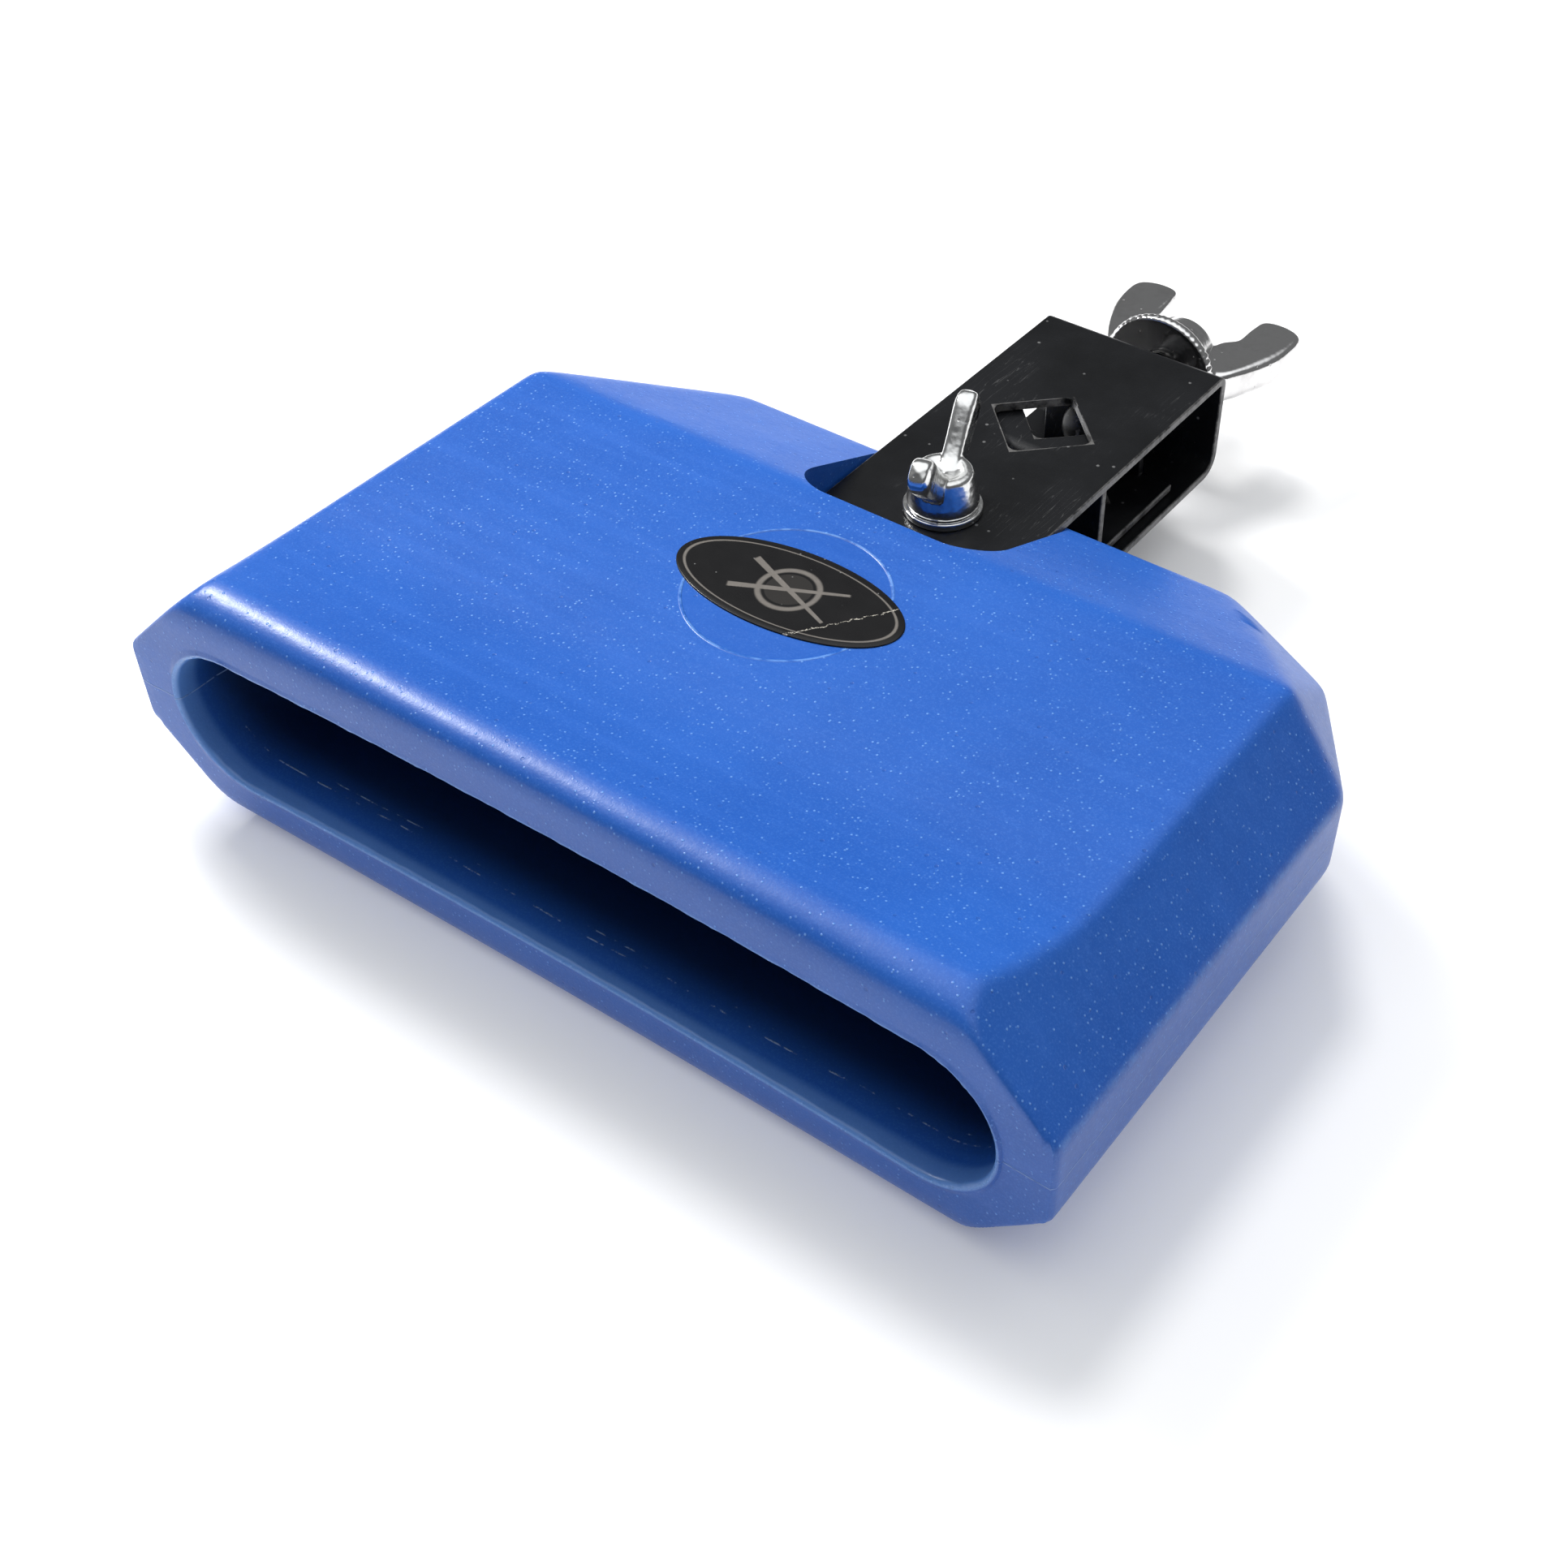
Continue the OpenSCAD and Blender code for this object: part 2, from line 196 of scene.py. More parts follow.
def rounded(profile, radii, steps):
    """A closed (radius, height) profile with each corner replaced by an arc-like curve: a
    quadratic curve from a point before the corner to one after it, at most its radius away."""
    pts = np.array(profile, float)
    out = []
    for i, corner_radius in enumerate(radii):
        before, here, after = pts[i - 1], pts[i], pts[(i + 1) % len(pts)]
        back, ahead = before - here, after - here
        reach = min(corner_radius, np.hypot(*back) * 0.49, np.hypot(*ahead) * 0.49)
        p0, p2 = here + back / np.hypot(*back) * reach, here + ahead / np.hypot(*ahead) * reach
        for t in np.linspace(0, 1, steps + 1):
            out.append((1 - t) ** 2 * p0 + 2 * t * (1 - t) * here + t**2 * p2)
    return out


def baked(obj, *modifiers):
    """obj with its modifiers applied, each given as (kind, {property: value})."""
    for kind, settings in modifiers:
        modifier = obj.modifiers.new(kind.lower(), kind)
        for key, value in settings.items():
            setattr(modifier, key, value)
    depsgraph = bpy.context.evaluated_depsgraph_get()
    depsgraph.update()
    mesh = bpy.data.meshes.new_from_object(obj.evaluated_get(depsgraph))
    obj.modifiers.clear()
    old, obj.data = obj.data, mesh
    bpy.data.meshes.remove(old)
    mesh.name = obj.name
    return obj


def cut_by(obj, cutters, sharp_degrees):
    """obj with the cutters' shapes taken out exactly. The cutters are removed, and edges
    sharper than the angle stay crisp."""
    baked(obj, *[("BOOLEAN", {"operation": "DIFFERENCE", "solver": "EXACT", "object": c}) for c in cutters])
    for cutter in cutters:
        mesh = cutter.data
        bpy.data.objects.remove(cutter)
        bpy.data.meshes.remove(mesh)
    obj.data.shade_smooth()
    obj.data.set_sharp_from_angle(angle=math.radians(sharp_degrees))
    return obj


def joined(name, *objects):
    """One object holding the meshes of several objects at the origin, which are removed."""
    bm = bmesh.new()
    for obj in objects:
        bm.from_mesh(obj.data)
    mesh = bpy.data.meshes.new(name)
    bm.to_mesh(mesh)
    bm.free()
    for obj in objects:
        old = obj.data
        bpy.data.objects.remove(obj)
        bpy.data.meshes.remove(old)
    mesh.shade_smooth()
    obj = bpy.data.objects.new(name, mesh)
    bpy.context.scene.collection.objects.link(obj)
    return obj


def stands_for(obj, node, material):
    """obj replaces a CAD node, rides on its body and takes its material slot."""
    obj.data.materials.clear()
    obj.data.materials.append(material)
    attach(obj, BODY_OF[node])
    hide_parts(node)
    print(f"{obj.name}: {len(obj.data.vertices)} points, {len(obj.data.polygons)} faces, for {node}")
    return obj


# %% [markdown]
# ## Shader maths
#
# A pattern made in the node editor is hard to read back. `Val` wraps a number socket and gives
# it the usual operators, so that a pattern is written as a formula and each operator adds one
# Math node. `Paint` builds one material: it holds the object coordinates in millimetres, so that
# a pattern stays on its piece when the piece moves, and adds every other node through one method.

# %% shader maths


class Val:
    """A number in a node tree, with operators that add Math nodes."""

    def __init__(self, tree, socket):
        self.tree, self.socket = tree, socket

    def op(self, kind, *others):
        """A Math node of that kind applied to this value and the others."""
        node = self.tree.nodes.new("ShaderNodeMath")
        node.operation = kind
        for slot, value in zip(node.inputs, (self,) + others):
            if isinstance(value, Val):
                self.tree.links.new(value.socket, slot)
            else:
                slot.default_value = value
        return Val(self.tree, node.outputs[0])

    def const(self, value):
        """A plain number as a value of the same tree."""
        node = self.tree.nodes.new("ShaderNodeValue")
        node.outputs[0].default_value = value
        return Val(self.tree, node.outputs[0])

    def __add__(self, other):
        return self.op("ADD", other)

    def __sub__(self, other):
        return self.op("SUBTRACT", other)

    def __mul__(self, other):
        return self.op("MULTIPLY", other)

    def __truediv__(self, other):
        return self.op("DIVIDE", other)

    __radd__ = __add__
    __rmul__ = __mul__

    def __rsub__(self, other):
        return self.const(other).op("SUBTRACT", self)

    def __rtruediv__(self, other):
        return self.const(other).op("DIVIDE", self)

    def abs(self):
        return self.op("ABSOLUTE")

    def sqrt(self):
        return self.op("SQRT")

    def max(self, other):
        return self.op("MAXIMUM", other)

    def step(self, low, high):
        """0 below low, 1 above high, smooth between. low may be the larger, to go down."""
        node = self.tree.nodes.new("ShaderNodeMapRange")
        node.interpolation_type = "SMOOTHSTEP"
        up = low < high
        node.inputs["From Min"].default_value = low if up else high
        node.inputs["From Max"].default_value = high if up else low
        node.inputs["To Min"].default_value = 0.0 if up else 1.0
        node.inputs["To Max"].default_value = 1.0 if up else 0.0
        self.tree.links.new(self.socket, node.inputs["Value"])
        return Val(self.tree, node.outputs["Result"])

    def line(self, at, width):
        """1 where this value is within 0.6 width of at, falling smoothly to 0 at twice width."""
        return (self - at).abs().step(width * 2, width * 0.6)


class Paint:
    """One material on a Principled shader, with object coordinates x, y and z in mm."""

    def __init__(self, name, **constants):
        self.material = bpy.data.materials.new(name)
        self.material.use_nodes = True
        self.tree = self.material.node_tree
        self.tree.nodes.clear()
        out = self.tree.nodes.new("ShaderNodeOutputMaterial")
        self.shader = self.tree.nodes.new("ShaderNodeBsdfPrincipled")
        self.tree.links.new(self.shader.outputs[0], out.inputs["Surface"])
        for key, value in constants.items():
            self.shader.inputs[key.replace("_", " ")].default_value = value
        coords = self.node("TexCoord", {})
        scaled = self.node("VectorMath", {"Vector": coords.outputs["Object"]}, operation="SCALE")
        scaled.inputs["Scale"].default_value = 1 / MM
        self.place = scaled.outputs["Vector"]
        parts = self.node("SeparateXYZ", {"Vector": self.place})
        self.x, self.y, self.z = (Val(self.tree, parts.outputs[i]) for i in range(3))

    def node(self, kind, inputs, **settings):
        """Any other node, its inputs given by name as sockets, values or numbers."""
        node = self.tree.nodes.new("ShaderNode" + kind)
        for key, value in settings.items():
            setattr(node, key, value)
        for key, value in inputs.items():
            if isinstance(value, Val):
                value = value.socket
            if isinstance(value, bpy.types.NodeSocket):
                self.tree.links.new(value, node.inputs[key])
            else:
                node.inputs[key].default_value = value
        return node

    def stretched(self, sx, sy, sz):
        """The coordinates with each axis scaled, for patterns drawn out along one of them."""
        node = self.node("VectorMath", {0: self.place, 1: (sx, sy, sz)}, operation="MULTIPLY")
        return node.outputs["Vector"]

    def noise(self, per_mm, detail=2.0, rough=0.5, at=None):
        """Smooth noise between 0 and 1, with per_mm cells in a millimetre."""
        inputs = {"Vector": at or self.place, "Scale": per_mm, "Detail": detail, "Roughness": rough}
        node = self.node("TexNoise", inputs)
        return Val(self.tree, node.outputs[0])

    def cells(self, per_mm):
        """(distance to the nearest cell point, a random number per cell)."""
        node = self.node("TexVoronoi", {"Vector": self.place, "Scale": per_mm})
        split = self.node("SeparateColor", {"Color": node.outputs["Color"]})
        return Val(self.tree, node.outputs["Distance"]), Val(self.tree, split.outputs[0])

    def blend(self, factor, first, second):
        """A colour between first and second, each a colour tuple or a colour socket."""
        node = self.node("Mix", {"Factor": factor}, data_type="RGBA")
        for slot, colour in ((6, first), (7, second)):
            if isinstance(colour, bpy.types.NodeSocket):
                self.tree.links.new(colour, node.inputs[slot])
            else:
                node.inputs[slot].default_value = (*colour, 1.0)
        return node.outputs[2]

    def bump(self, height, strength=1.0):
        """Tilts the normal by a height in millimetres."""
        node = self.node("Bump", {"Strength": strength, "Distance": MM, "Height": height})
        self.tree.links.new(node.outputs["Normal"], self.shader.inputs["Normal"])

    def use(self, **inputs):
        """Links varying values to the shader, such as Base_Color and Roughness."""
        for key, value in inputs.items():
            socket = value.socket if isinstance(value, Val) else value
            self.tree.links.new(socket, self.shader.inputs[key.replace("_", " ")])
        return self.material


# %% [markdown]
# ## Blue moulded plastic
#
# The block's skin is finely pebbled, with pale flecks painted in as highlights where the grain catches the
# light. A round mark of the mould is smoother and sits a little deeper. The two mould halves leave a ragged
# flash line at mid height, and the mouth's rim is paler. Each of these is a mask worked out from
# the distance to a circle, a plane or the slot, and the masks steer colour, roughness and bump.
# The hollow's colour is painted darker towards its far end, nearly black: painted shade.

# %% blue plastic


def blue_plastic():
    """The block. The mould mark is a circle of radius MARK_R about (0, MARK_Y) on the flat
    faces. The rim is where the distance to the slot's middle line equals its half height."""
    p = Paint("blue plastic", IOR=1.5)
    flat = p.z.abs().step(BODY_Z - 1.2, BODY_Z - 0.6)
    from_mark = (p.x * p.x + (p.y - MARK_Y) * (p.y - MARK_Y)).sqrt()
    in_mark = from_mark.step(MARK_R + 0.2, MARK_R - 0.4) * flat
    mark_rim = from_mark.line(MARK_R, 0.16) * flat
    end = (p.x.abs() - MOUTH_X).max(0.0)
    from_slot = (end * end + p.z * p.z).sqrt()
    rim = from_slot.line(MOUTH_R + 0.35, 0.34) * p.y.step(3.0, 1.4)
    inside = from_slot.step(MOUTH_R + 0.5, MOUTH_R + 0.1) * p.y.step(HOLLOW_Y + 4, HOLLOW_Y + 2)
    ragged = p.noise(0.6, 3.0)
    flash = (p.z + (p.noise(0.22) - 0.5) * 0.5).line(0.0, 0.09) * ragged.step(0.36, 0.5)
    seam_y = p.y + (p.noise(0.05) - 0.5) * 3
    on_floor = inside * p.z.step(-8.0, -9.0)
    scars = seam_y.line(6.0, 0.09) * p.noise(0.35, 4.0, 0.7).step(0.5, 0.62)
    scars = (scars + seam_y.line(7.6, 0.08) * p.noise(0.2, 4.0, 0.7).step(0.56, 0.66)) * on_floor

    grain = p.noise(0.9, 4.0, 0.65)
    fine = p.noise(3.0, 2.0, 0.6)
    spot, pick = p.cells(1.5)
    # Painted highlights: pale flecks where the grain catches the light.
    glint_fleck = spot.step(0.34, 0.12) * pick.step(0.62, 0.95) * (1 - in_mark * 0.7) * (1 - inside)
    pit, which = p.cells(0.5)
    pits = pit.step(0.17, 0.1) * which.step(0.82, 0.86) * (1 - inside)
    cloud = p.noise(0.03, 3.0, 0.6)
    streak = p.noise(1.0, 3.0, 0.6, at=p.stretched(0.02, 0.35, 0.2)).step(0.45, 0.75)

    colour = p.blend(cloud.step(0.3, 0.75), (0.011, 0.094, 0.435), (0.015, 0.112, 0.49))
    colour = p.blend(streak * 0.22, colour, (0.04, 0.16, 0.60))
    colour = p.blend(fine.step(0.45, 0.75) * 0.34, colour, (0.06, 0.20, 0.62))
    # Painted shade: the hollow's blue darkens to near black with depth behind the mouth.
    depth = inside * (p.y + (p.z + MOUTH_R) * 0.25).step(2.0, 12.0)
    colour = p.blend(depth * 0.85, colour, (0.0015, 0.009, 0.038))
    colour = p.blend(glint_fleck * 0.62, colour, (0.17, 0.40, 0.86))
    colour = p.blend(pits * 0.35, colour, (0.006, 0.05, 0.28))
    colour = p.blend(in_mark * 0.25, colour, (0.008, 0.08, 0.40))
    colour = p.blend((mark_rim * ragged.step(0.3, 0.6) * 0.45).max(rim * 0.5), colour, (0.22, 0.45, 0.88))
    colour = p.blend(flash * 0.55, colour, (0.30, 0.45, 0.80))
    colour = p.blend(scars * 0.7, colour, (0.45, 0.60, 0.85))

    # Paler patches along the edge where the side band meets the side slope.
    patchy = p.noise(0.5, 4.0, 0.7).step(0.35, 0.7)
    band = ((p.z.abs() - BAND_Z).line(0.0, 0.45) * p.x.abs().step(HALF_W - 2.5, HALF_W - 0.6)) * patchy
    colour = p.blend(band * 0.30, colour, (0.10, 0.30, 0.75))
    rough = 0.36 + (grain - 0.5) * 0.16 + glint_fleck * 0.12 + inside * 0.06 - in_mark * 0.04 - rim * 0.1
    height = grain * 0.045 * (1 - in_mark * 0.7) + fine * 0.014 + glint_fleck * 0.05 - pits * 0.05
    height = height + mark_rim * 0.09 - in_mark * 0.10 + flash * 0.16 + scars * 0.12 + cloud * 0.5
    p.bump(height, 0.85)
    return p.use(Base_Color=colour, Roughness=rough)


# %% [markdown]
# ## Black powder coat, chrome and zinc
#
# Powder coat is baked on and has a faint orange peel. It rubs off first at cut edges, so a mask
# along those edges lets grey steel through in patches. Chrome and zinc plate follow the dents of
# the casting below them. A dent is a broad, shallow bump, while smudges and pits change the
# roughness. One function makes both platings and another every black steel, with their numbers
# as arguments.

# %% steel and plating


def black_steel(name, edge):
    """Powder-coated steel. edge(p) is 1 on the cut edges, where the coat is rubbed."""
    p = Paint(name, IOR=1.5, Specular_IOR_Level=0.26)
    peel = p.noise(1.6, 3.0, 0.55)
    smear = p.noise(0.05, 4.0, 0.6)
    rubbed = edge(p) * p.noise(0.25, 5.0, 0.7).step(0.34, 0.6)
    dust, pick = p.cells(0.42)
    specks = dust.step(0.16, 0.07) * pick.step(0.80, 0.84)
    lengthways = p.noise(1.0, 2.0, 0.5, at=p.stretched(0.9, 0.05, 0.3))
    scratch = lengthways.line(0.5, 0.004) * smear.step(0.5, 0.65)
    colour = p.blend(smear.step(0.3, 0.7), (0.0035, 0.0038, 0.0045), (0.0075, 0.008, 0.0095))
    colour = p.blend(rubbed * 0.7, colour, (0.19, 0.185, 0.18))
    colour = p.blend(specks * 0.6, colour, (0.22, 0.22, 0.22))
    colour = p.blend(scratch * 0.45, colour, (0.10, 0.10, 0.10))
    rough = 0.34 + (smear - 0.5) * 0.22 + (peel - 0.5) * 0.08 + specks * 0.3 - rubbed * 0.05
    p.bump(peel * 0.03 + specks * 0.06 - scratch * 0.02, 0.7)
    return p.use(Base_Color=colour, Roughness=rough)


def plated(name, tint, dark, base_rough, dents):
    """Chrome or zinc: metallic, with soft dents of that depth in mm, smudges and pits."""
    p = Paint(name, Metallic=1.0)
    dent = p.noise(0.35, 2.0, 0.5)
    smudge = p.noise(0.12, 4.0, 0.65)
    grain = p.noise(2.5, 3.0, 0.6)
    pit, pick = p.cells(0.7)
    pits = pit.step(0.2, 0.08) * pick.step(0.74, 0.8)
    colour = p.blend(smudge.step(0.45, 0.75) * 0.6, tint, dark)
    colour = p.blend(pits * 0.5, colour, (0.16, 0.155, 0.15))
    rough = base_rough + smudge.step(0.4, 0.8) * 0.14 + grain * 0.05 + pits * 0.2
    p.bump(dent * dents + grain * 0.012 - pits * 0.05, 0.8)
    return p.use(Base_Color=colour, Roughness=rough)


# %% [markdown]
# ## The label's print
#
# A gloss black oval with a thin silver line inside its edge, worn grey ink and a jagged crease
# near one end. The print could be an image, but a drawing made of distances stays sharp at any
# size. The emblem is a ring with two crossed sticks.

# %% label print


def label_gloss():
    """Gloss black with a silver line, an emblem and a crease. u and v run along and across the
    oval, and sqrt((u / a)^2 + (v / b)^2) is 1 on an oval of half lengths a and b."""
    p = Paint("label gloss", IOR=1.5, Coat_Weight=0.15, Coat_Roughness=0.08, Specular_IOR_Level=0.25)
    half_u, half_v, _ = (label_hi - label_lo) / 2
    cx, cy, _ = (label_hi + label_lo) / 2
    cos_turn, sin_turn = math.cos(LABEL_TURN), math.sin(LABEL_TURN)
    u = (p.x - cx) * cos_turn + (p.y - cy) * sin_turn
    v = (p.y - cy) * cos_turn - (p.x - cx) * sin_turn

    def oval(a, b):
        """1 on the oval of half lengths a and b, less inside it."""
        return (u * u / (a * a) + v * v / (b * b)).sqrt()

    border = oval(half_u - 1.3, half_v - 1.25).line(1.0, 0.010)
    hoop = oval(4.6, 4.6).line(1.0, 0.07)
    head = oval(3.6, 3.6).step(1.02, 0.98)

    def stick(angle):
        """1 on a tapered bar through the middle, turned by angle degrees."""
        c, s = math.cos(math.radians(angle)), math.sin(math.radians(angle))
        along, across = u * c + v * s, v * c - u * s
        taper = 0.55 - (along + 9) * 0.015
        return (across.abs() - taper).step(0.08, -0.08) * along.abs().step(9.4, 9.0)

    sticks = stick(24).max(stick(-24))
    patchy = p.noise(1.1, 5.0, 0.7)
    ink = border.max(hoop).max(sticks)
    jagged = (p.noise(0.8, 4.0, 0.7) - 0.5) * 2.4
    crease = (u - 12.2 - v * 0.75 + jagged).line(0.0, 0.10) * patchy.step(0.40, 0.52)
    dust, pick = p.cells(0.8)
    specks = dust.step(0.14, 0.06) * pick.step(0.86, 0.9)
    colour = p.blend(p.noise(0.2, 3.0), (0.004, 0.004, 0.0045), (0.008, 0.0075, 0.008))
    colour = p.blend(head * 0.35, colour, (0.06, 0.055, 0.05))
    colour = p.blend(ink * (0.55 + patchy * 0.35), colour, (0.23, 0.21, 0.19))
    colour = p.blend(crease * 0.85, colour, (0.62, 0.58, 0.50))
    colour = p.blend(specks * 0.6, colour, (0.30, 0.30, 0.30))
    rough = 0.22 + p.noise(0.3, 3.0) * 0.16 + crease * 0.3 + specks * 0.2
    p.bump(p.noise(0.15, 2.0) * 0.12 + crease * 0.08 + p.noise(2.0) * 0.006, 0.8)
    return p.use(Base_Color=colour, Roughness=rough)


# %% every finish


def cut_edges(edge_from, edge_full, hole_y):
    """A mask that is 1 where |x| is past edge_full, and along the diamond hole about hole_y,
    whose sides are where |x| + |y - hole_y| is constant."""
    half_diamond = ROD_SIDE / math.sqrt(2)

    def mask(p):
        reach = p.x.abs() + (p.y - hole_y).abs()
        near_hole = reach.step(half_diamond + 0.35, half_diamond + 0.12)
        near_hole = near_hole * (p.y - hole_y).abs().step(12.0, 11.0)
        return p.x.abs().step(edge_from, edge_full).max(near_hole)

    return mask


def thread_wear(p):
    """Scattered patches on the bolt, where the coat has come off."""
    return p.noise(0.5, 3.0).step(0.62, 0.72)


bracket_half, jaw_half = bracket_hi[0], jaw_hi[0]
mat_blue = blue_plastic()
mat_bracket = black_steel("bracket black", cut_edges(bracket_half - 0.32, bracket_half - 0.12, ROD_Y))
mat_jaw = black_steel("jaw black", cut_edges(jaw_half - 0.28, jaw_half - 0.10, JAW_Y))
mat_bolt = black_steel("bolt black", thread_wear)
mat_chrome = plated("chrome", (0.80, 0.79, 0.785), (0.50, 0.485, 0.48), 0.07, 0.10)
mat_zinc = plated("bright zinc", (0.80, 0.80, 0.79), (0.52, 0.51, 0.49), 0.15, 0.26)
mat_label = label_gloss()
print("materials:", [m.name for m in bpy.data.materials])

# %% [markdown]
# ## The block's outside as a field
#
# The block is a faceted moulding whose edges are all a little rounded, and whose front lips
# flare. Modelling it from a box would need a bevel whose width changes from edge to edge. As one
# implicit solid it is simpler: each flat face gives a signed distance g, negative inside, and
# the distances are joined by a smooth maximum, f = k log sum exp(g / k), which rounds every edge
# where two of them are close. The field repeats itself above and below, and left and right.

# %% block field


def bow_at(x, bow_half=HALF_W + 1.0):
    """Y of the front face: an arc that is 0 at the middle and -BOW at the ends."""
    radius = (bow_half**2 + BOW**2) / (2 * BOW)
    return np.sqrt(radius**2 - x**2) - radius


def lip_profile():
    """(lip centre, flare centre, flare radius) of the arcs in the (Y, Z) plane: the lip's arc
    and the hollow flare touch each other, and the flare meets the flat top level."""
    lip = np.array([LIP_R - BOW, LIP_Z - LIP_R])
    dx, dz = FLARE_Y - lip[0], BODY_Z - lip[1]
    radius = (dx * dx + dz * dz - LIP_R**2) / (2 * (LIP_R - dz))
    return lip, np.array([FLARE_Y, BODY_Z + radius]), radius


LIP, FLARE, FLARE_R = lip_profile()


def top_height(y):
    """Height of the flared top at y, from the lip's crest to the flat."""
    join = LIP[0] + (FLARE[0] - LIP[0]) * LIP_R / (LIP_R + FLARE_R)
    on_lip = LIP[1] + np.sqrt(np.maximum(LIP_R**2 - (y - LIP[0]) ** 2, 0))
    on_flare = FLARE[1] - np.sqrt(np.maximum(FLARE_R**2 - (y - FLARE[0]) ** 2, 0))
    return np.where(y < join, on_lip, np.where(y < FLARE[0], on_flare, BODY_Z))


def plane_through(a, b, c, inside):
    """Unit normal n and offset d of the plane through three points, with n.p < d inside."""
    a, b, c = map(np.array, (a, b, c))
    n = np.cross(b - a, c - a).astype(float)
    n /= np.linalg.norm(n)
    if n @ (np.array(inside) - a) > 0:
        n = -n
    return n, n @ a


MIDDLE = (0.0, 50.0, 0.0)
SIDE_XY = (HALF_W, BACK_Y - 30)
SHOULDER_XY = (HALF_W - 13, BACK_Y - 10.4)
TAIL_XY = (HALF_W - 34.5, BACK_Y)
TOP_CORNER = (HALF_W - 12.0, SLOPE_Y + 0.4, BODY_Z)
LEVEL = 5
FACET_CORNERS = {
    "side slope": ((HALF_W, 0, BAND_Z), (HALF_W, 70, BAND_Z), (HALF_W - 12.2, 0, BODY_Z)),
    "shoulder slope": ((*SIDE_XY, BAND_Z), (*SHOULDER_XY, BAND_Z), TOP_CORNER),
    "corner slope": ((*SHOULDER_XY, BAND_Z), (*TAIL_XY, BACK_Z), TOP_CORNER),
    "back slope": ((-30, BACK_Y, BACK_Z), (30, BACK_Y, BACK_Z), (0, SLOPE_Y, BODY_Z)),
    "side band": ((HALF_W, 0, 0), (HALF_W, 50, 0), (HALF_W, 0, LEVEL)),
    "shoulder band": ((*SIDE_XY, 0), (*SHOULDER_XY, 0), (*SIDE_XY, LEVEL)),
    "corner band": ((*SHOULDER_XY, 0), (*TAIL_XY, 0), (*SHOULDER_XY, LEVEL)),
    "back band": ((0, BACK_Y, 0), (9, BACK_Y, 0), (0, BACK_Y, LEVEL)),
}
FACETS = [plane_through(*corners, MIDDLE) for corners in FACET_CORNERS.values()]
print("facets of the block's upper right quarter:", ", ".join(FACET_CORNERS))


def smooth_max(terms, k):
    """k log sum exp(g / k) over a list of fields: their maximum, rounded where two are close."""
    terms = np.stack(terms)
    top = terms.max(axis=0)
    return top + k * np.log(np.exp((terms - top) / k).sum(axis=0))


def block_field(p, k=0.34):
    """The smooth signed field at points p (..., 3); symmetric in x and in z."""
    x, y, z = np.abs(p[..., 0]), p[..., 1], np.abs(p[..., 2])
    q = np.stack([x, y, z], axis=-1)
    round_lip = np.hypot(y - LIP[0], z - LIP[1]) - LIP_R
    front = np.where(z > LIP[1], round_lip, LIP[0] - LIP_R - y)
    lip = np.where(y < LIP[0], front, z - top_height(y))
    lip = smooth_max([lip, bow_at(x) - y], 0.8)
    return smooth_max([q @ n - d for n, d in FACETS] + [lip], k)


# %% [markdown]
# ## The block's skin, from rays
#
# A marching-cubes skin would be ragged along the edges. Instead rays start on a small box inside
# the block and aim at points round a larger box outside it. A bisection finds where each ray
# leaves the solid. The aims lie in rings, so the skin is one grid: the rings of the hollow from
# its far wall to the mouth's rim, then the front face, the length of the block and its back.

# %% block skin


def meet(origin, target, steps=34):
    """Where each ray from origin to target leaves the block, by bisection."""
    low, high = np.zeros(origin.shape[:-1]), np.ones(origin.shape[:-1])
    for _ in range(steps):
        mid = (low + high) / 2
        out = block_field(origin + (target - origin) * mid[..., None]) > 0
        high, low = np.where(out, mid, high), np.where(out, low, mid)
    return origin + (target - origin) * low[..., None]


def loop_around(half_x=HALF_W + 1.5, half_z=LIP_Z + 1.8, step_x=1.3, step_z=0.8):
    """(X, Z) points round a rectangle, the box that the rays aim at."""
    nx, nz = int(2 * half_x / step_x), int(2 * half_z / step_z)
    across = np.linspace(half_x, -half_x, nx, endpoint=False)
    down = np.linspace(half_z, -half_z, nz, endpoint=False)
    return np.concatenate([
        np.stack([across, np.full(nx, half_z)], 1),
        np.stack([np.full(nz, -half_x), down], 1),
        np.stack([-across, np.full(nx, -half_z)], 1),
        np.stack([np.full(nz, half_x), -down], 1),
    ])


LOOP = loop_around()


def slot_ring(reach, y, shrink=1.0):
    """The slot's outline at a distance reach from its middle line, at depth y behind the bowed
    face. Each point looks from the middle line towards its own point of LOOP."""
    middle = np.clip(LOOP[:, 0], -MOUTH_X, MOUTH_X)
    way = np.stack([LOOP[:, 0] - middle, LOOP[:, 1]], 1)
    way /= np.linalg.norm(way, axis=1, keepdims=True)
    x, z = middle * shrink + way[:, 0] * reach, way[:, 1] * reach
    follow = np.clip(1 - y / HOLLOW_Y, 0, 1)
    return np.stack([x, y + bow_at(x) * follow, z], 1)


def hollow_rings(rim=0.9):
    """The hollow from its far wall to the rounded rim of the mouth."""
    far_r = MOUTH_R - 1.5
    rows = [slot_ring(far_r * s, HOLLOW_Y, s) for s in (0.02, 0.3, 0.6, 0.8)]
    for a in np.radians(np.linspace(0, 90, 6)):
        rows.append(slot_ring(far_r - 2 + 2 * np.sin(a), HOLLOW_Y - 2 + 2 * np.cos(a)))
    for y in np.linspace(HOLLOW_Y - 4, 3.0, 20):
        rows.append(slot_ring(MOUTH_R - 1.5 * y / HOLLOW_Y, y))
    x = LOOP[:, 0]
    ragged = 0.07 * np.sin(x * 0.61 + 1.0) + 0.05 * np.sin(x * 1.43) + 0.04 * np.sin(x * 2.9 + 2.0)
    for a in np.radians(np.linspace(0, 90, 7)):
        ring = slot_ring(MOUTH_R + ragged * np.sin(a) + rim * (1 - np.cos(a)), rim * (1 - np.sin(a)))
        rows.append(ring)
    return rows


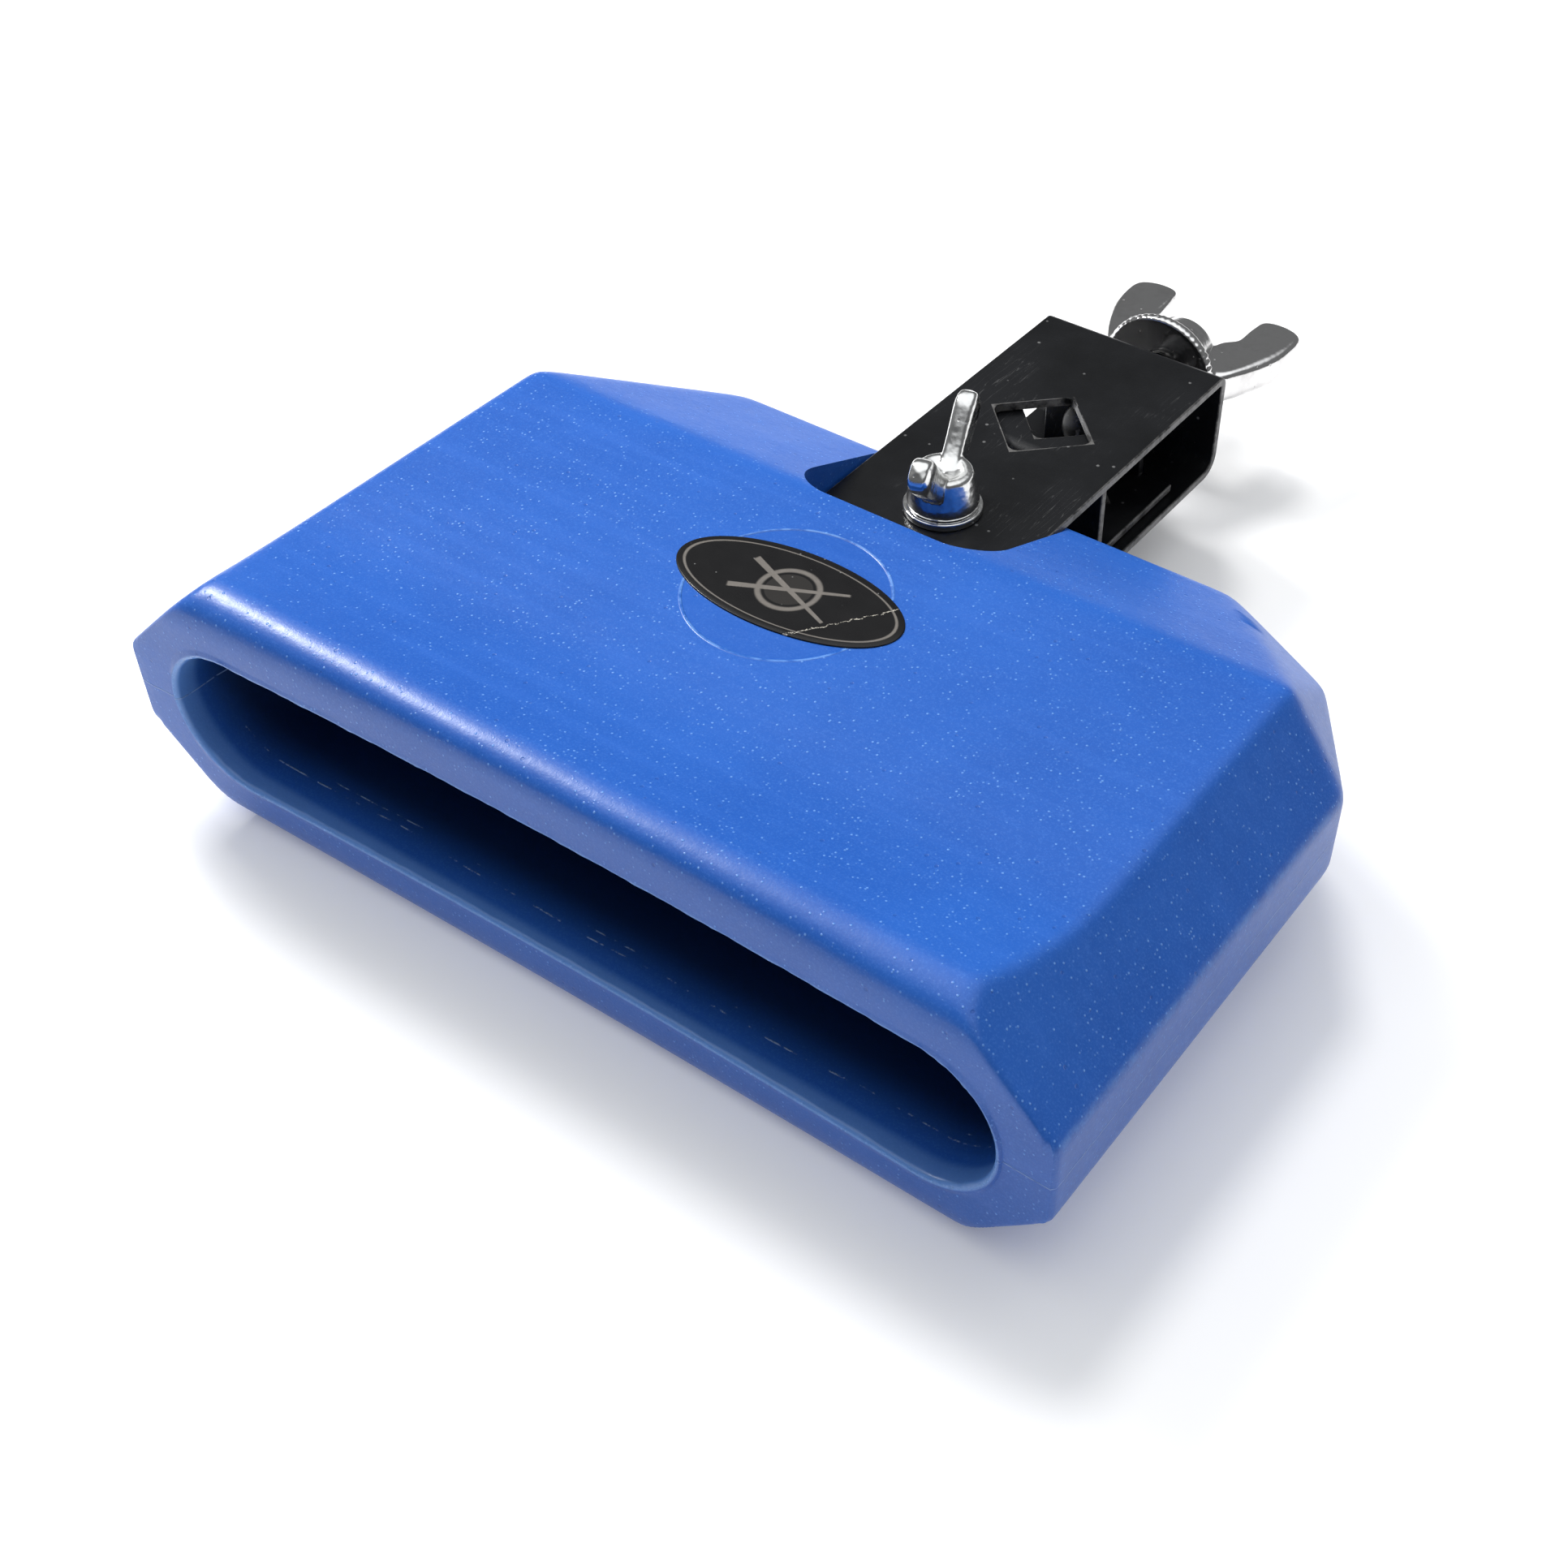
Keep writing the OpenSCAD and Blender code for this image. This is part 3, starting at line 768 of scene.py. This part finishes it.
def outer_rings(beyond=1.8):
    """From the mouth's rim over the front face, along the block and over its back edge. The
    back's rays aim at a plane that far beyond it."""
    low, high = np.array([-58.0, 9.0, -3.0]), np.array([58.0, 88.0, 3.0])
    start = slot_ring(MOUTH_R + 0.9, 0.0)
    rows = []
    for s in np.linspace(0, 1, 26)[1:]:
        flat = start[:, [0, 2]] * (1 - s) + LOOP * s
        target = np.stack([flat[:, 0], np.full(len(flat), -BOW - 1.0), flat[:, 1]], 1)
        level = np.stack([flat[:, 0], np.full(len(flat), 9.0), flat[:, 1]], 1)
        ease = s * s * (3 - 2 * s)
        rows.append(meet(level * (1 - ease) + np.clip(target, low, high) * ease, target))
    front, middle = np.arange(-BOW - 0.2, 34, 0.8), np.arange(34, 74, 1.6)
    for y in np.concatenate([front, middle, np.arange(74, BACK_Y + beyond, 0.8)]):
        target = np.stack([LOOP[:, 0], np.full(len(LOOP), y), LOOP[:, 1]], 1)
        rows.append(meet(np.clip(target, low, high), target))
    for s in np.linspace(0, 1, 54)[1:-1]:
        x, z = LOOP.T * (1 - s)
        target = np.stack([x, np.full(len(LOOP), BACK_Y + beyond), z], 1)
        rows.append(meet(np.clip(target, low, high), target))
    return rows


# %% [markdown]
# ## Pockets and bolt hole
#
# The bracket's legs lie in a pocket above and below the block's tail. The pockets' edges are
# crisp, so they are cut with exact Booleans after the rounded skin is made.

# %% block cuts


def prism_z(outline, low, high):
    """A closed prism over an (n, 2) outline, from low to high."""
    return ring_surface(np.stack([np.column_stack([outline, np.full(len(outline), z)]) for z in (low, high)]))


def bore_z(name, radius):
    """A round cutter up through the block's bolt hole, or through the bracket's."""
    return merged(name, [lathe([(radius, -30), (radius, 30)], 48, "z", (0, BOLT_Y, 0), closed=False)])


def pocket_cutter(half=18.6, radius=8.0, floor=8.45, past=12.0):
    """Two prisms with rounded front corners that cut the bracket's pockets, above and below."""
    a = np.radians(np.linspace(0, 90, 13))
    right = np.stack([half - radius + radius * np.sin(a), SLOPE_Y + radius - radius * np.cos(a)], 1)
    end = BACK_Y + past
    outline = np.vstack([[0, SLOPE_Y], right, [half, end], [-half, end], (right * [-1, 1])[::-1]])
    heights = ((floor, 40.0), (-40.0, -floor))
    return merged("pocket cutter", [prism_z(outline, low, high) for low, high in heights])


def make_block():
    """The skin with its pockets and bolt hole cut."""
    obj = merged("block_shell", [ring_surface(np.stack(hollow_rings() + outer_rings()))])
    return cut_by(obj, [pocket_cutter(), bore_z("hole cutter", BOLT_HOLE_R)], sharp_degrees=38)


stands_for(make_block(), "block", mat_blue)

# %% [markdown]
# ## The label
#
# A thin oval plate stuck to the top. A flat plane would look printed on the block, so the label
# gets real thickness: oval rings shrink from the edge to the middle, and the upper edge is
# rounded to catch the light.

# %% label


def make_label():
    """Oval rings with half lengths a and b, turned by LABEL_TURN. Each level is a share of the
    half lengths and a height."""
    low, high = label_lo, label_hi
    a, b = (high[0] - low[0]) / 2, (high[1] - low[1]) / 2
    centre, bottom, top = (low + high) / 2, low[2], high[2]
    angle = np.linspace(0, 2 * np.pi, 160, endpoint=False)
    levels = [(s, bottom) for s in (0.3, 0.7, 1.0)]
    levels += [(1.0, top - 0.12), (0.996, top - 0.04), (0.988, top)]
    levels += [(s, top) for s in (0.9, 0.7, 0.5, 0.3, 0.12)]
    rows = []
    for s, z in levels:
        x, y = a * s * np.cos(angle), b * s * np.sin(angle)
        rows.append(np.stack([
            centre[0] + x * math.cos(LABEL_TURN) - y * math.sin(LABEL_TURN),
            centre[1] + x * math.sin(LABEL_TURN) + y * math.cos(LABEL_TURN),
            np.full(len(angle), z),
        ], 1))
    obj = merged("label_disc", [ring_surface(np.stack(rows))])
    obj.data.set_sharp_from_angle(angle=math.radians(40))
    return obj


stands_for(make_label(), "label", mat_label)

# %% [markdown]
# ## The bracket
#
# A black strip bent to a U, with rounded ends and crisp punched holes. A Bevel modifier pinches
# where a hole's edge meets the bends, so the bracket is made as the real one is: a rounded flat
# section is swept down the strip's middle line, and the holes are then punched by Booleans.

# %% bracket


def flat_lit(obj):
    """obj with its large faces lit as flat, by normals weighted with the face's area."""
    flat = obj.modifiers.new("flat faces", "WEIGHTED_NORMAL")
    flat.mode, flat.weight, flat.keep_sharp = "FACE_AREA", 100, True
    return obj


def strip_path(front, back, outer, upper_r, lower_r, thick, corner):
    """(y, z) points down the middle of the bracket's strip, from the upper leg's end round the
    back to the lower leg's end. They lie closer together over the leg's rounded corners."""
    z = outer - thick / 2
    near = front + corner * (1 - np.cos(np.radians(np.linspace(0, 90, 12))))
    points = [(y, z) for y in near] + [(y, z) for y in np.linspace(front + corner + 4, back - 8, 10)]
    for r, top in ((upper_r + thick / 2, True), (lower_r + thick / 2, False)):
        for a in np.radians(np.linspace(0, 90, 9)):
            y_c, z_c = back - thick / 2 - r, (z - r) * (1 if top else -1)
            a = a if top else a + math.pi / 2
            points.append((y_c + r * math.sin(a), z_c + r * math.cos(a)))
    points += [(y, -z) for y in np.linspace(back - 8, front + corner + 4, 10)]
    points += [(y, -z) for y in near[::-1]]
    return np.array(points)


def diamond(centre_y, side, corner):
    """A square turned by 45 degrees about (0, centre_y), with rounded corners."""
    reach = (side / 2 - corner) * math.sqrt(2)
    points = []
    for q in np.radians([0, 90, 180, 270]):
        for turn in q + np.radians(np.linspace(-45, 45, 7)):
            x = reach * math.cos(q) + corner * math.cos(turn)
            points.append((x, centre_y + reach * math.sin(q) + corner * math.sin(turn)))
    return np.array(points)


def make_bracket(thick=1.5, corner=6.0, upper_bend=0.6, lower_bend=2.5):
    """The strip is a rounded rectangle swept down strip_path. Its half width near a leg's end,
    at distance d, is w - r + sqrt(r^2 - (r - d)^2), which rounds the leg's two corners."""
    front, back, outer = bracket_lo[1], bracket_hi[1], bracket_hi[2]
    path = strip_path(front, back, outer, upper_bend, lower_bend, thick, corner)
    ahead = np.gradient(path, axis=0)
    ahead /= np.linalg.norm(ahead, axis=1, keepdims=True)
    side = np.stack([-ahead[:, 1], ahead[:, 0]], 1)
    d = np.clip(path[:, 0] - front, 0, corner)
    half_w = bracket_hi[0] - corner + np.sqrt(corner**2 - (corner - d) ** 2)
    angle, r = np.radians(np.linspace(0, 90, 5)), 0.26
    quarter = np.stack([r * np.cos(angle) - r, thick / 2 + r * np.sin(angle) - r], 1)
    section = np.vstack([quarter, (quarter * [-1, 1])[::-1], quarter * [-1, -1], (quarter * [1, -1])[::-1]])
    sign = np.repeat([1, -1, -1, 1], 5)
    x = sign[None, :] * half_w[:, None] + section[None, :, 0]
    y = path[:, None, 0] + side[:, None, 0] * section[None, :, 1]
    z = path[:, None, 1] + side[:, None, 1] * section[None, :, 1]
    obj = merged("bracket_strip", [ring_surface(np.stack([x, y, z], -1))])
    wall_hole = [(CLAMP_HOLE_R, back - 4), (CLAMP_HOLE_R, back + 3)]
    cutters = [
        merged("rod cut", [prism_z(diamond(ROD_Y, ROD_SIDE, ROD_CORNER), -30, 30)]),
        bore_z("bolt cut", BOLT_HOLE_R),
        merged("clamp cut", [lathe(wall_hole, 48, "y", (0, 0, clamp_axis_z), closed=False)]),
    ]
    return flat_lit(cut_by(obj, cutters, sharp_degrees=35))


stands_for(make_bracket(), "bracket", mat_bracket)

# %% [markdown]
# ## Small steel parts: jaw, washers and hexagon nut
#
# The CAD shape of these is right but its edges are razor sharp, where real ones are rounded by
# the press and the plating. So each is a copy of the CAD mesh: its flat triangles are merged, a
# Bevel modifier rounds its edges, and Weighted Normal keeps the large faces flat in the light.

# %% small steel parts


def softened(node, name, width, material, segments=3):
    """A copy of a CAD node's mesh with flat faces merged and edges bevelled by width mm."""
    source = frame["nodes"][node]
    bm = bmesh.new()
    bm.from_mesh(source.data)
    bmesh.ops.transform(bm, matrix=source.matrix_world, verts=bm.verts)
    bmesh.ops.remove_doubles(bm, verts=bm.verts, dist=2e-6)
    bmesh.ops.dissolve_limit(bm, angle_limit=math.radians(0.8), verts=bm.verts, edges=bm.edges)
    bmesh.ops.recalc_face_normals(bm, faces=bm.faces)
    mesh = bpy.data.meshes.new(name)
    bm.to_mesh(mesh)
    bm.free()
    mesh.shade_smooth()
    obj = bpy.data.objects.new(name, mesh)
    bpy.context.scene.collection.objects.link(obj)
    bevel = obj.modifiers.new("bevel", "BEVEL")
    bevel.width, bevel.segments = width * MM, segments
    bevel.limit_method, bevel.angle_limit = "ANGLE", math.radians(50)
    bevel.use_clamp_overlap = False
    return stands_for(flat_lit(obj), node, material)


softened("clamp_jaw", "jaw_strip", 0.28, mat_jaw)
softened("bolt_washer", "upper_washer", 0.22, mat_zinc)
softened("under_washer", "lower_washer", 0.22, mat_zinc)
softened("under_nut", "hexagon_nut", 0.4, mat_zinc)

# %% [markdown]
# ## Screws
#
# The clamp bolt is a round-headed M8 and the wing bolt's shank an M6. Their threads show at the
# ends, so they are real geometry. A helix could be swept along a path, but a surface of
# revolution is lighter: its radius follows a triangle wave of the phase
# y / pitch - angle / 2 pi, clipped flat at crest and root, and fades out at the plain ends.

# %% screws


def threaded(radius, depth, pitch, start, end, thread, along, centre, tip, sides=64):
    """(points, faces) of a screw from start to end along the axis. thread is the (from, to) of
    its threaded stretch and tip the height of its rounded end."""
    sign = 1 if end > start else -1
    run = np.arange(0, abs(end - start) - tip, pitch / 8)
    heights = start + sign * run
    base = np.full(len(run), radius)
    a = np.radians(np.linspace(0, 84, 10))
    body_end = end - sign * tip
    heights = np.concatenate([heights, body_end + sign * tip * np.sin(a)])
    base = np.concatenate([base, radius * np.cos(a) ** 0.8])
    low, high = min(thread), max(thread)

    def wave(angle, r, h):
        """The radius r less the groove's depth at that angle and height h."""
        phase = h / pitch - angle / (2 * np.pi)
        saw = np.abs(2 * (phase - np.floor(phase)) - 1)
        groove = np.clip(saw * 1.3 - 0.12, 0, 1) * depth
        fade = np.clip((h - low) / pitch, 0, 1) * np.clip((high - h) / pitch, 0, 1)
        return r - groove * fade

    return lathe(np.stack([base, heights], 1), sides, along, centre, wobble=wave, closed=False)


def dome(radius, height, rim, sides, along, centre, base, sign):
    """A low round bolt head: a rounded rim and a dome of that height, closed underneath."""
    a = np.radians(np.linspace(0, 88, 16))
    rows = [(radius * 0.3, base), (radius * 0.8, base), (radius, base), (radius, base + sign * rim)]
    rows += [(radius * math.cos(t), base + sign * (rim + (height - rim) * math.sin(t))) for t in a[1:]]
    return lathe(rows, sides, along, centre, closed=False)


def make_clamp_bolt(head_height=3.4, radius=4.0, pitch=1.25):
    """Round head in front of the jaw's tongue, threaded shank, rounded far end."""
    centre = (0, 0, clamp_axis_z)
    head_r, base, end = (clamp_hi[2] - clamp_lo[2]) / 2, clamp_lo[1] + head_height, clamp_hi[1]
    shank = threaded(radius, 0.6, pitch, base - 1, end, (base + 4.6, end - 6.5), "y", centre, 2.6)
    head = dome(head_r, head_height, 0.5, 72, "y", centre, base, -1)
    return merged("clamp_screw", [shank, head])


stands_for(make_clamp_bolt(), "clamp_bolt", mat_bolt)

# %% [markdown]
# ## Cast wing nut and wing bolt
#
# Both are castings whose wings grow out of the hub with soft fillets. Booleans would leave a
# hard seam there, so overlapping pieces are merged by a voxel remesh and then smoothed, which
# leaves such fillets. The chrome nut's paddles are flat slabs with rounded rims. The zinc bolt's
# wings are rings swept along a path, whose section is a superellipse, |a/w|^n + |b/t|^n = 1, and
# closes to nothing at the tip as (1 - s^n)^(1/n).

# %% castings


def wing(path, width, thick, across, n=3.4, rows=46, sides=44, tip=0.30):
    """(points, faces) of a wing. path, width and thick are values at even steps, read by a
    smooth curve. across is the direction of its thickness."""
    s = np.linspace(0, 1, rows)
    knots = np.linspace(0, 1, len(path))

    def fit(values):
        """The cubic through the values, read at every row."""
        return np.polyval(np.polyfit(knots, values, min(3, len(knots) - 1)), s)

    path = np.array(path, float)
    centre = np.stack([fit(path[:, i]) for i in range(3)], 1)
    close = np.clip((s - (1 - tip)) / tip, 0, 0.9995)
    shut = (1 - close**2.6) ** (1 / 2.6)
    w = fit(width) * shut
    t = fit(thick) * (0.35 + 0.65 * shut) * np.where(shut < 0.2, shut / 0.2, 1)
    forward = np.gradient(centre, axis=0)
    forward /= np.linalg.norm(forward, axis=1, keepdims=True)
    across = np.array(across, float)
    side = np.cross(forward, across)
    side /= np.linalg.norm(side, axis=1, keepdims=True)
    angle = np.linspace(0, 2 * np.pi, sides, endpoint=False)
    c, d = np.cos(angle), np.sin(angle)
    ring_w = np.sign(c) * np.abs(c) ** (2 / n)
    ring_t = np.sign(d) * np.abs(d) ** (2 / n)
    rings = (
        centre[:, None, :]
        + side[:, None, :] * (w[:, None] * ring_w)[..., None]
        + across * (t[:, None] * ring_t)[..., None]
    )
    return ring_surface(rings)


def cast(name, parts, voxel, smooth):
    """One closed casting from overlapping closed surfaces."""
    obj = merged(name, parts)
    baked(obj, ("REMESH", {"mode": "VOXEL", "voxel_size": voxel * MM, "use_smooth_shade": True}))
    baked(obj, ("SMOOTH", {"factor": 0.5, "iterations": smooth}))
    obj.data.shade_smooth()
    return obj


def slab(outline, half, edge, side, origin):
    """A flat rounded wing: the outline, given as (x, y) corners, is smoothed into a closed
    Catmull-Rom curve, and inset by edge (1 - cos a) while the height goes round edge sin a."""
    pts = np.array(outline, float)
    t = np.linspace(0, 1, 14, endpoint=False)[:, None]
    curve = []
    for i in range(len(pts)):
        a, b, c, d = (pts[(i + k) % len(pts)] for k in (-1, 0, 1, 2))
        square, cube = 2 * a - 5 * b + 4 * c - d, 3 * b - a - 3 * c + d
        curve.append(0.5 * (2 * b + (c - a) * t + square * t**2 + cube * t**3))
    curve = np.vstack(curve)
    mid = curve.mean(axis=0)
    reach = np.linalg.norm(curve - mid, axis=1, keepdims=True)
    rows = []
    for a in np.radians(np.concatenate([np.linspace(-90, -1, 8), np.linspace(1, 90, 8)])):
        inset = mid + (curve - mid) * (1 - edge * (1 - math.cos(a)) / reach)
        z = math.copysign(half - edge, a) + edge * math.sin(a)
        rows.append(np.column_stack([side * inset[:, 0], inset[:, 1], np.full(len(inset), z)]))
    return ring_surface(np.stack(rows) + np.array(origin, float))


WING_OUTER = [(4.6, 2.2), (7.5, 1.3), (11.6, 1.6), (14.8, 6.6), (17.4, 13.5), (18.1, 19.5)]
WING_INNER = [(17.3, 23.4), (13.6, 25.0), (9.6, 24.3), (8.6, 20.5), (8.0, 15.5), (5.4, 11.2)]


def make_wing_nut(bore=4.15, hub_end=11):
    """Flange with a knurled rim, conical hub with its bore, and two splayed paddles."""
    z = (nut_lo[2] + nut_hi[2]) / 2
    front = nut_lo[1]
    flange_r = (nut_hi[2] - nut_lo[2]) / 2
    flange = [(bore, front), (flange_r, front), (flange_r, front + 2.0)]
    cone = [(8.6, front + 2.6), (6.6, front + hub_end), (bore, front + hub_end)]
    profile = rounded(flange + cone, [0.3, 0.7, 0.7, 2.2, 1.6, 0.5], 5)

    def knurl(angle, r, h):
        """56 ribs round the flange, which fade out towards the cone."""
        return r - 0.10 * (1 + np.cos(56 * angle)) * np.clip((r - flange_r + 1.2) / 1.2, 0, 1)

    hub = lathe(profile, 224, "y", (0, 0, z), wobble=knurl)
    outline = WING_OUTER + WING_INNER
    parts = [hub] + [slab(outline, 3.0, 1.5, side, (0, front, z)) for side in (1, -1)]
    return cast("wing_nut_cast", parts, 0.25, 5)


def make_wing_bolt(gap=0.05, turn_degrees=104):
    """Hub with a dished top, two upright wings, and the threaded shank below it. The gap keeps
    the hub just off its washer."""
    foot, top = washer_hi[2] + gap, bolt_hi[2]
    centre = (0, BOLT_Y, 0)
    rim = [(0.2, foot), (5.9, foot), (5.9, foot + 1.5), (4.7, foot + 6.4)]
    dish = [(3.4, foot + 6.5), (2.2, foot + 5.7), (0.2, foot + 5.6)]
    hub = lathe(rounded(rim + dish, [0.1, 0.6, 1.2, 0.8, 0.4, 1.0, 0.1], 4), 96, "z", centre)
    turn = math.radians(turn_degrees)
    out = np.array([math.cos(turn), math.sin(turn), 0])
    flat = np.array([-math.sin(turn), math.cos(turn), 0])
    climb = [(1.8, foot + 3.4), (5.2, foot + 6.2), (8.6, foot + 9.6), (12.2, top + 0.1)]
    parts = [hub]
    for side in (1, -1):
        path = [np.array(centre) + side * r * out + np.array([0, 0, z]) for r, z in climb]
        parts.append(wing(path, [2.6, 2.3, 2.7, 2.6], [1.9, 1.75, 1.8, 1.85], flat, n=4.2, tip=0.22))
    head = cast("wing_bolt_head", parts, 0.2, 5)
    end = bolt_lo[2]
    screw = threaded(3.0, 0.5, 1.0, foot + 1.0, end, (foot - 1, end + 0.6), "z", centre, 0.9, 48)
    return joined("wing_bolt_cast", head, merged("wing_bolt_shank", [screw]))


stands_for(make_wing_nut(), "wing_nut", mat_chrome)
stands_for(make_wing_bolt(), "wing_bolt", mat_zinc)

# %% [markdown]
# ## Floor, light and camera
#
# A pale sheet lies under the lips and glows faintly, so that it stays nearly white. A distant
# key lamp from behind on the left casts the main shadow, and a nearer side key lightens the left
# sides. Both are hidden from gloss, as the key's highlight on the block's top was too strong. The
# accent lamp does the opposite: it is seen only in gloss, for a highlight along the lip. The
# sky is bright overhead and dim at the horizon. The camera looks down over the block's right
# front corner, and its lens is shifted because the frame is off centre.

# %% floor


def make_floor():
    """A wide pale sheet at the height of the lower lip."""
    paint = Paint("floor paper", IOR=1.4, Emission_Strength=0.16, Emission_Color=(1.0, 1.0, 1.0, 1.0))
    paper = paint.noise(0.02, 3.0)
    colour = paint.blend(paper, (0.86, 0.86, 0.865), (0.90, 0.90, 0.905))
    paint.bump(paint.noise(0.8, 3.0) * 0.01, 0.3)
    material = paint.use(Base_Color=colour, Roughness=paper * 0.1 + 0.7)
    size, z = 3000.0, CAD_LO[2] / MM - 0.02
    corners = np.array([[-size, -size, z], [size, -size, z], [size, size, z], [-size, size, z]])
    obj = add_object("floor", corners, [np.array([[0, 1, 2, 3]])])
    if obj.data.polygons[0].normal.z < 0:
        obj.data.flip_normals()
    obj.data.materials.append(material)


# %% lamps and sky


def area_light(name, place, size, watts, aim=(0, 0.07, 0)):
    """A square lamp at place (m), aimed at a point."""
    data = bpy.data.lights.new(name, "AREA")
    data.shape, data.size, data.energy = "SQUARE", size, watts
    obj = bpy.data.objects.new(name, data)
    obj.location = place
    obj.rotation_euler = (Vector(aim) - Vector(place)).to_track_quat("-Z", "Y").to_euler()
    bpy.context.scene.collection.objects.link(obj)
    return obj


def sun(name, towards, strength, spread, colour):
    """A distant lamp whose light comes from the direction towards, spread over some degrees."""
    data = bpy.data.lights.new(name, "SUN")
    data.energy, data.angle, data.color = strength, math.radians(spread), colour
    obj = bpy.data.objects.new(name, data)
    obj.rotation_euler = Vector(towards).to_track_quat("Z", "Y").to_euler()
    bpy.context.scene.collection.objects.link(obj)
    return obj


def make_sky(overhead, horizon, front):
    """A sky that is bright overhead and dimmer at the horizon, by smooth steps of the height z
    of the direction, and dimmer still by the factor front towards the camera's side."""
    world = bpy.data.worlds.new("studio")
    bpy.context.scene.world = world
    world.use_nodes = True
    tree = world.node_tree
    tree.nodes.clear()
    out = tree.nodes.new("ShaderNodeOutputWorld")
    sky = tree.nodes.new("ShaderNodeBackground")
    way = tree.nodes.new("ShaderNodeTexCoord")
    parts = tree.nodes.new("ShaderNodeSeparateXYZ")
    tree.links.new(way.outputs["Generated"], parts.inputs[0])
    x, y, z = (Val(tree, parts.outputs[i]) for i in range(3))
    ahead = (x * 0.45 - y * 0.89).step(0.15, 0.75) * z.step(0.93, 0.75)
    level = (z.step(0.58, 0.90) * (overhead - horizon) + horizon) * (1 - ahead * (1 - front))
    tree.links.new(level.socket, sky.inputs["Strength"])
    sky.inputs["Color"].default_value = (0.96, 0.98, 1.0, 1.0)
    tree.links.new(sky.outputs[0], out.inputs[0])


# %% camera


def make_camera(azimuth, elevation, roll, lens, place, shift):
    """Camera at place (m) looking back along the given angles, with a roll and lens shift."""
    a, e, r = map(math.radians, (azimuth, elevation, roll))
    back = Vector((math.sin(a) * math.cos(e), -math.cos(a) * math.cos(e), math.sin(e)))
    right = (-back).cross(Vector((0, 0, 1))).normalized()
    up = right.cross(-back)
    x_axis = right * math.cos(r) + up * math.sin(r)
    y_axis = up * math.cos(r) - right * math.sin(r)
    data = bpy.data.cameras.new("camera")
    data.sensor_width, data.lens = 36.0, lens
    data.shift_x, data.shift_y = shift
    data.clip_start, data.clip_end = 0.01, 20
    obj = bpy.data.objects.new("camera", data)
    obj.matrix_world = Matrix.Translation(place) @ Matrix((x_axis, y_axis, back)).transposed().to_4x4()
    bpy.context.scene.collection.objects.link(obj)
    bpy.context.scene.camera = obj


make_floor()
make_sky(1.30, 0.17, 0.7)
sun("key", (-0.40, 0.35, 0.85), 1.15, 14.0, (1.0, 0.99, 0.97)).visible_glossy = False
area_light("side key", (-0.46, 0.20, 0.44), 0.22, 3.2).visible_glossy = False
area_light("accent", (-0.98, 0.07, 0.93), 0.22, 17.0, aim=(-0.06, 0.01, 0)).visible_diffuse = False
make_camera(34.59, 45.08, 0.77, 47.62, Vector((0.15096, -0.13544, 0.20668)), (-0.071, 0.0475))
bpy.context.scene.view_settings.view_transform = "Standard"
bpy.context.scene.view_settings.look = "None"
print("floor, three lamps, sky and camera are in place")
